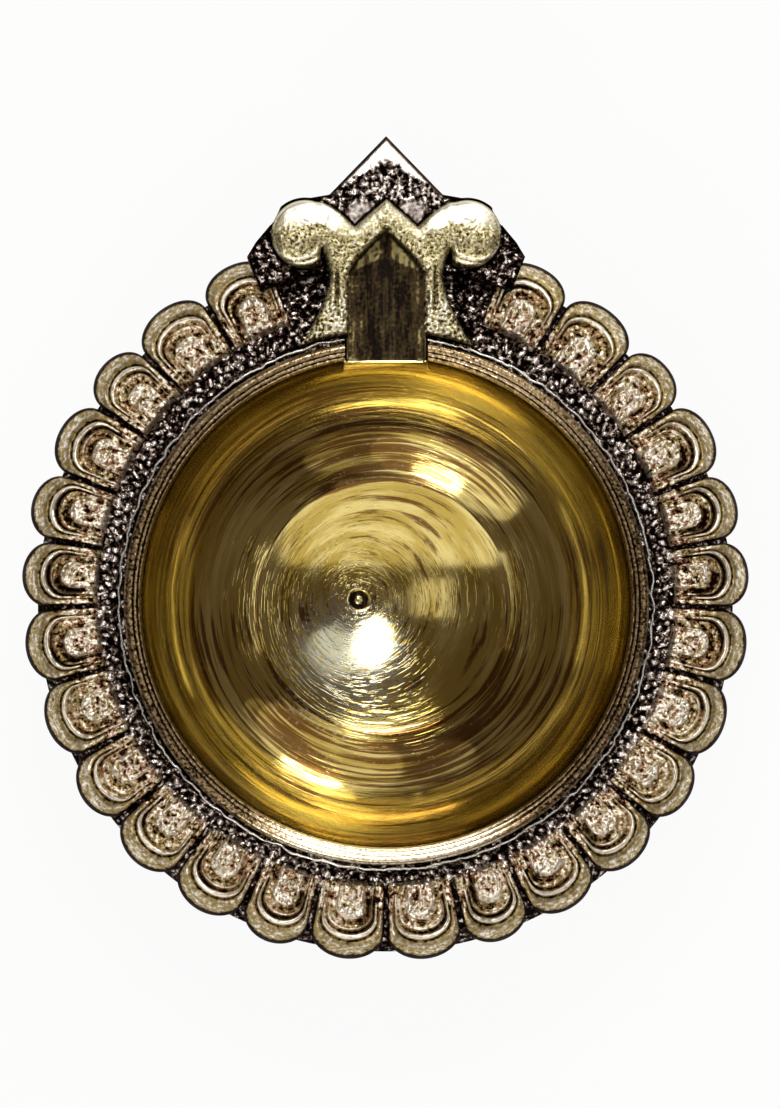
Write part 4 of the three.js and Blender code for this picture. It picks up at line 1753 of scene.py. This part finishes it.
    def channelled(
        self,
        x: np.ndarray,
        y: np.ndarray,
        fine: np.ndarray,
        height: np.ndarray,
        wear: np.ndarray,
    ) -> tuple[np.ndarray, np.ndarray]:
        """Sinks the wick's channel and lowers its walls where it passes through the lip.

        Args:
            x: Distances from the spout's axis.
            y: Distances along it.
            fine: A fine noise.
            height: The heights so far.
            wear: The wear so far.

        Returns:
            The heights and the wear.
        """
        half = self.channel_width(y)
        inside = (x < half) & (y < self.channel_apex)
        run = rise(self.channel_shoulder, self.channel_apex, y)
        slope = rise(self.channel_centre, self.channel_half, x)
        floor = mix(self.channel_floor, self.apex_height, run**2)
        floor = floor + self.channel_side_rise * slope + 0.12 * fine
        brink = np.clip(1.0 - (x - half) / 0.9, 0.0, 1.0) * (y < self.channel_apex + 0.6)
        height = np.where(inside, floor, height - 0.5 * brink**2)
        wear = np.where(inside, wear, wear - 0.25 * brink**4)
        wall = (np.hypot(x, y) < self.crossing) & ~inside
        height = np.where(wall, self.top - 0.9, height)
        wear = np.where(wall, 0.35, wear)
        # The slope under the crown's peak gets a painted highlight, and the level floor is dark
        # down its middle.
        shown = np.clip((y - 46.9 + 0.45 * x) / 0.5, 0.0, 1.0)
        core = bell(x, 0.45 + 1.1 * (1.0 - run)) + bell(half - x, 0.35)
        sides = 0.1 + 0.5 * slope**1.5 + 0.3 * rise(33.4, 33.1, y)
        soot_and_highlight = mix(sides, 1.0 - np.minimum(core, 1.0), shown) + 0.4 * fine
        return height, np.where(inside, soot_and_highlight, wear)

    @property
    def crossing(self) -> float:
        """The radius inside which the spout is only the channel's block."""
        return self.wing_radius * 0.985

    def underside(self, places: np.ndarray) -> np.ndarray:
        """Gives the underside: the seat, and the channel's block below it.

        Args:
            places: Places in the plan.

        Returns:
            Heights.
        """
        x, y = np.abs(places[:, 0]), places[:, 1]
        run = rise(self.channel_shoulder, self.channel_apex, y)
        block = (x <= self.channel_width(y) + self.channel_wall + 0.1) & (run < 1.0)
        low = self.channel_floor - self.channel_thickness
        return np.where(block, np.minimum(low + (self.seat - low) * run, self.seat), self.seat)

    def build(self, finish: bpy.types.Material, sooted: bpy.types.Material) -> None:
        """Carves the crown and dresses it.

        Args:
            finish: The crown's finish.
            sooted: The finish of the channel's floor.
        """
        carving = Carving(self.outline(), self.spacing)
        bm = carving.carve(self.top_heights, self.underside)
        for face in bm.faces:
            middle = face.calc_center_median()
            half = float(self.channel_width(np.array([middle.y]))[0])
            sunk = abs(middle.x) < half + 0.05 and middle.y < self.channel_apex
            crossing = math.hypot(middle.x, middle.y) < self.crossing
            if crossing or (sunk and middle.z < self.top - 0.6):
                face.material_index = 1
        hand_over(bm, "spout_crown", [finish, sooted], [Node.SPOUT], sharp=60.0)


@dataclass
class SpoutLeaf:
    """The cast leaf under the crown, with a bright point, a stippled field and a prow below."""

    spacing: float = 0.17
    side: Point = (7.7, 55.4)
    rim_radius: float = 5.0
    flank: tuple[Point, ...] = ((15.2, 51.9), (17.7, 48.9))
    flank_radius: float = 50.6
    half_angle: float = 21.9
    inner_radius: float = 45.5
    keel_radius: float = 47.6
    rise: float = 2.1
    edge: float = 1.8
    border: float = 0.6
    point_border: float = 1.7
    point_half_width: float = 5.5
    field_depth: float = 0.7
    facet: Point = (3.4, 52.7)  # the middle of the smooth place beside the crown's peak
    facet_reach: float = 2.6
    prow: float = 10.0
    valley_height: float = PetalCollar.valley_height

    def __post_init__(self) -> None:
        """Takes the leaf's tip from the CAD leaf."""
        self.tip_y = box_of(Node.LEAF)[1].y

    def outline(self, spout: WickSpout) -> list[Point]:
        """Gives the leaf's outline.

        Args:
            spout: The spout whose scrolls it goes round.

        Returns:
            The anticlockwise outline.
        """
        turn = math.radians(self.half_angle)
        flank = (self.flank_radius * math.sin(turn), self.flank_radius * math.cos(turn))
        half = [
            (0.0, self.tip_y),
            self.side,
            *arc(spout.scroll, self.rim_radius, 98.0, 48.0, 10),
            *self.flank,
            flank,
            *arc((0.0, 0.0), self.inner_radius, 90.0 - self.half_angle, 90.0, 12),
        ]
        return mirrored(half)

    def build(self, finish: bpy.types.Material, spout: WickSpout) -> None:
        """Carves the leaf and dresses it.

        Args:
            finish: Its finish.
            spout: The spout that covers its root.
        """
        carving = Carving(self.outline(spout), self.spacing)
        crown = Carving(spout.outline(), 4.0)
        crown.bm.free()
        top = self.valley_height + self.rise

        def heights(places: np.ndarray, distance: np.ndarray, normal: np.ndarray) -> Carved:
            """Carves the leaf's top: a drooping point, a thin border and the stippled field.

            Args:
                places: Places in the plan.
                distance: Their distances from the outline.
                normal: The outline's outward normals there, which the leaf doesn't need.

            Returns:
                Heights, wear and polish.
            """
            x, y = np.abs(places[:, 0]), places[:, 1]
            fine, coarse = bumps(places, 2.0, 1.0), bumps(places, 1.0, 6.0)
            ahead = np.clip((y - self.side[1] + 0.2) / 1.2, 0.0, 1.0)
            border = ahead * (self.border + self.point_border * rise(self.point_half_width, 0.0, x))
            ragged = border + ahead * (0.7 * fine + 0.3 * coarse)
            into = np.clip((distance - ragged) / 0.4, 0.0, 1.0)
            slope = np.clip(border - distance, 0.0, 3.0)
            edge = rise(0.6, 0.0, distance)
            height = top - 0.3 * slope - self.field_depth * into - 0.2 * edge**2
            from_facet = np.hypot(x - self.facet[0], y - self.facet[1])
            smooth = np.clip(2.5 * rise(self.facet_reach, 0.0, from_facet), 0.0, 1.0)
            height += into * (0.3 * fine + 0.12 * coarse) * (1.0 - 0.85 * smooth)
            wear = 0.42 + 1.1 * fine + 0.3 * coarse - 0.3 * rise(54.0, 51.0, y)
            wear = mix(wear, 0.7 + 0.2 * fine, smooth)
            # Painted highlight on the border and the point, partly wear, and painted shade in a
            # thin dark line at the very edge.
            wear = np.where(into > 0.5, wear, 1.0) - 1.1 * edge
            rubbed = np.maximum(1.0 - into, smooth)
            away = crown.nearest(places)[0]
            covered = crown.inside(places) | (away < 0.3)
            seat = spout.underside(places) - 0.3
            height = np.where(covered, np.minimum(height, seat), height)
            wear = wear - 0.5 * rise(0.5, 0.0, away)
            return height, np.clip(wear, 0.0, 1.0), rubbed

        def prow(places: np.ndarray) -> np.ndarray:
            """Gives the prow's underside, which runs back to the keel.

            Args:
                places: Places in the plan.

            Returns:
                Heights.
            """
            heading = places / np.linalg.norm(places, axis=1)[:, None]
            radius = np.linalg.norm(places, axis=1)
            reach = np.full(len(places), self.keel_radius + 0.1)
            outline = carving.outline
            for start, end in zip(outline, np.roll(outline, -1, 0)):
                run = end - start
                across = heading[:, 0] * run[1] - heading[:, 1] * run[0]
                across = np.where(np.abs(across) < 1e-9, 1e-9, across)
                far = (start[0] * run[1] - start[1] * run[0]) / across
                share = (start[0] * heading[:, 1] - start[1] * heading[:, 0]) / across
                hit = (share >= -1e-6) & (share <= 1.0 + 1e-6) & (far > reach)
                reach = np.where(hit, far, reach)
            pull = np.clip((reach - radius) / (reach - self.keel_radius), 0.0, 1.0)
            depth = np.interp(pull, [0.0, 0.16, 0.62, 0.96], [0.0, 0.24, 0.78, 1.0])
            return top - self.edge - self.prow * depth

        bm = carving.carve(heights, prow)
        hand_over(bm, "pointed_leaf", [finish], [Node.LEAF], sharp=60.0)


# Studio


WARM = "#FFFAF0"
SOFT_WHITE = "#FFFDF8"
WHITE = "#FFFFFF"
COOL = "#F4FAFF"


class Shape(Enum):
    """The outlines that a soft box can have."""

    SQUARE = "RECTANGLE"
    ROUND = "ELLIPSE"


@dataclass(frozen=True)
class Lamp:
    """A soft box that faces the cup."""

    name: str
    heading: float  # its direction from +Y towards +X, in degrees
    height: float  # its elevation above the floor, in degrees
    distance: float  # from the cup, in metres
    size: Point  # its width and height, in metres
    power: float  # in watts
    colour: str = WARM
    shape: Shape = Shape.ROUND

    def hang(self, target: Vector) -> None:
        """Hangs the lamp.

        Args:
            target: The place that it faces, in metres.
        """
        data = bpy.data.lights.new(self.name, "AREA")
        data.shape = self.shape.value
        data.size, data.size_y = self.size
        data.energy = self.power
        data.color = linear(self.colour)[:3]
        lamp = bpy.data.objects.new(self.name, data)
        turn, lift = math.radians(self.heading), math.radians(self.height)
        direction = Vector(
            (math.sin(turn) * math.cos(lift), math.cos(turn) * math.cos(lift), math.sin(lift))
        )
        lamp.location = direction * self.distance + target
        lamp.rotation_euler = direction.to_track_quat("Z", "Y").to_euler()
        bpy.context.scene.collection.objects.link(lamp)


LAMPS = (
    Lamp("key", 0.0, 58.5, 0.8, (0.3, 0.2), 2.0, SOFT_WHITE, Shape.SQUARE),
    Lamp("right", 90.0, 56.0, 0.8, (0.4, 0.13), 0.36, SOFT_WHITE, Shape.SQUARE),
    Lamp("left", 270.0, 56.0, 0.8, (0.4, 0.13), 0.1, SOFT_WHITE, Shape.SQUARE),
    Lamp("front", 180.0, 57.0, 0.8, (0.42, 0.16), 0.16, SOFT_WHITE, Shape.SQUARE),
    Lamp("overhead", 180.0, 75.0, 1.2, (0.84, 0.4), 1.0, WARM, Shape.SQUARE),
    Lamp("glint", 20.0, 81.5, 1.1, (0.12, 0.16), 0.4, WHITE),
    Lamp("gleam", 272.0, 82.5, 1.1, (0.13, 0.13), 0.04, WARM, Shape.SQUARE),
    Lamp("side", 45.0, 76.0, 1.2, (0.2, 0.16), 0.07, COOL),
    Lamp("near", 202.0, 45.0, 0.9, (0.26, 0.12), 1.2, WHITE),
    Lamp("far", 24.0, 15.0, 0.9, (0.3, 0.12), 1.0, WHITE),
    Lamp("back_wall", 22.0, 30.0, 0.8, (0.7, 0.56), 0.5),
    Lamp("back_wide", 12.0, 31.0, 0.85, (1.3, 0.52), 0.45),
    Lamp("front_wall", 205.0, 38.0, 0.9, (0.85, 0.5), 0.6),
    Lamp("front_wide", 192.0, 38.0, 0.95, (1.4, 0.46), 0.6),
)


@dataclass
class Studio:
    """The floor, the lamps, the world and the camera over the lamp."""

    frame_centre: Point = (0.48, 6.5)
    frame_height: float = 150.0
    lens: float = 500.0
    lean: Point = (-0.02, -0.037)  # the camera's way sideways for each step up
    lip_height: float = 30.0
    floor_colour: str = "#FAFAF9"
    floor_glow: float = 0.93  # share of the floor's white that the lamps don't give
    world_colour: str = "#FFE2CA"
    world_strength: float = 0.12

    def build_floor(self) -> None:
        """Lays a pale floor that keeps the lamp's shadow."""
        graph = Graph("studio_floor")
        tree = graph.tree
        paint = add_node(
            tree,
            "ShaderNodeBsdfPrincipled",
            {"Base Color": linear(self.floor_colour), "Roughness": 0.9},
        ).outputs[0]
        ray = add_node(tree, "ShaderNodeLightPath").outputs
        seen = graph.math("MAXIMUM", ray["Is Camera Ray"], ray["Is Glossy Ray"])
        seen = graph.math("MAXIMUM", seen, ray["Is Transmission Ray"])
        share = graph.math("MULTIPLY", seen, self.floor_glow)
        glow = add_node(tree, "ShaderNodeEmission", {"Strength": 1.0}).outputs[0]
        surface = add_node(tree, "ShaderNodeMixShader", {0: share, 1: paint, 2: glow}).outputs[0]
        add_node(tree, "ShaderNodeOutputMaterial", {"Surface": surface})
        bm = bmesh.new()
        bmesh.ops.create_grid(bm, x_segments=1, y_segments=1, size=3.0)
        mesh = bpy.data.meshes.new("floor")
        bm.to_mesh(mesh)
        bm.free()
        mesh.materials.append(graph.material)
        floor = bpy.data.objects.new("floor", mesh)
        bpy.context.scene.collection.objects.link(floor)

    def build_world(self) -> None:
        """Fills the room with a faint, warm light."""
        world = bpy.data.worlds.new("room")
        world.use_nodes = True
        tree = world.node_tree
        tree.nodes.clear()
        room = add_node(
            tree,
            "ShaderNodeBackground",
            {"Color": linear(self.world_colour), "Strength": self.world_strength},
        )
        add_node(tree, "ShaderNodeOutputWorld", {"Surface": room.outputs[0]})
        bpy.context.scene.world = world

    def build_camera(self) -> None:
        """Hangs the camera over the lamp, a little towards the near side."""
        data = bpy.data.cameras.new("camera")
        data.sensor_width = 36.0
        data.lens = self.lens
        reach = self.frame_height * self.lens / data.sensor_width
        camera = bpy.data.objects.new("camera", data)
        x = self.frame_centre[0] + self.lean[0] * reach
        y = self.frame_centre[1] + self.lean[1] * reach
        camera.location = Vector((x, y, self.lip_height + reach)) * MM
        camera.rotation_euler = Euler((-math.atan(self.lean[1]), math.atan(self.lean[0]), 0.0))
        bpy.context.scene.collection.objects.link(camera)
        bpy.context.scene.camera = camera

    def build(self) -> None:
        """Builds the studio and sets plain colours."""
        self.build_floor()
        self.build_world()
        target = Vector((0.0, 0.0, self.lip_height * MM))
        for lamp in LAMPS:
            lamp.hang(target)
        self.build_camera()
        bpy.context.scene.view_settings.view_transform = "Standard"


def main() -> None:
    """Builds the lamp and the studio."""
    logging.basicConfig(level=logging.INFO, format="%(name)s: %(message)s")
    ground = GROUND.build()
    sooted = SOOTED.build()
    cup = OilCup()
    cup.build(POLISHED.build(), LIP.build(), sooted)
    TurnedFoot().build(FOOT_BRASS.build(), cup)
    PetalCollar().build(ANTIQUE.build(), ground, cup)
    SolderBead().build(TIN.build(), cup)
    spout = WickSpout()
    spout.build(PALE.build(), sooted)
    SpoutLeaf().build(ground, spout)
    Studio().build()


if __name__ == "__main__":
    main()
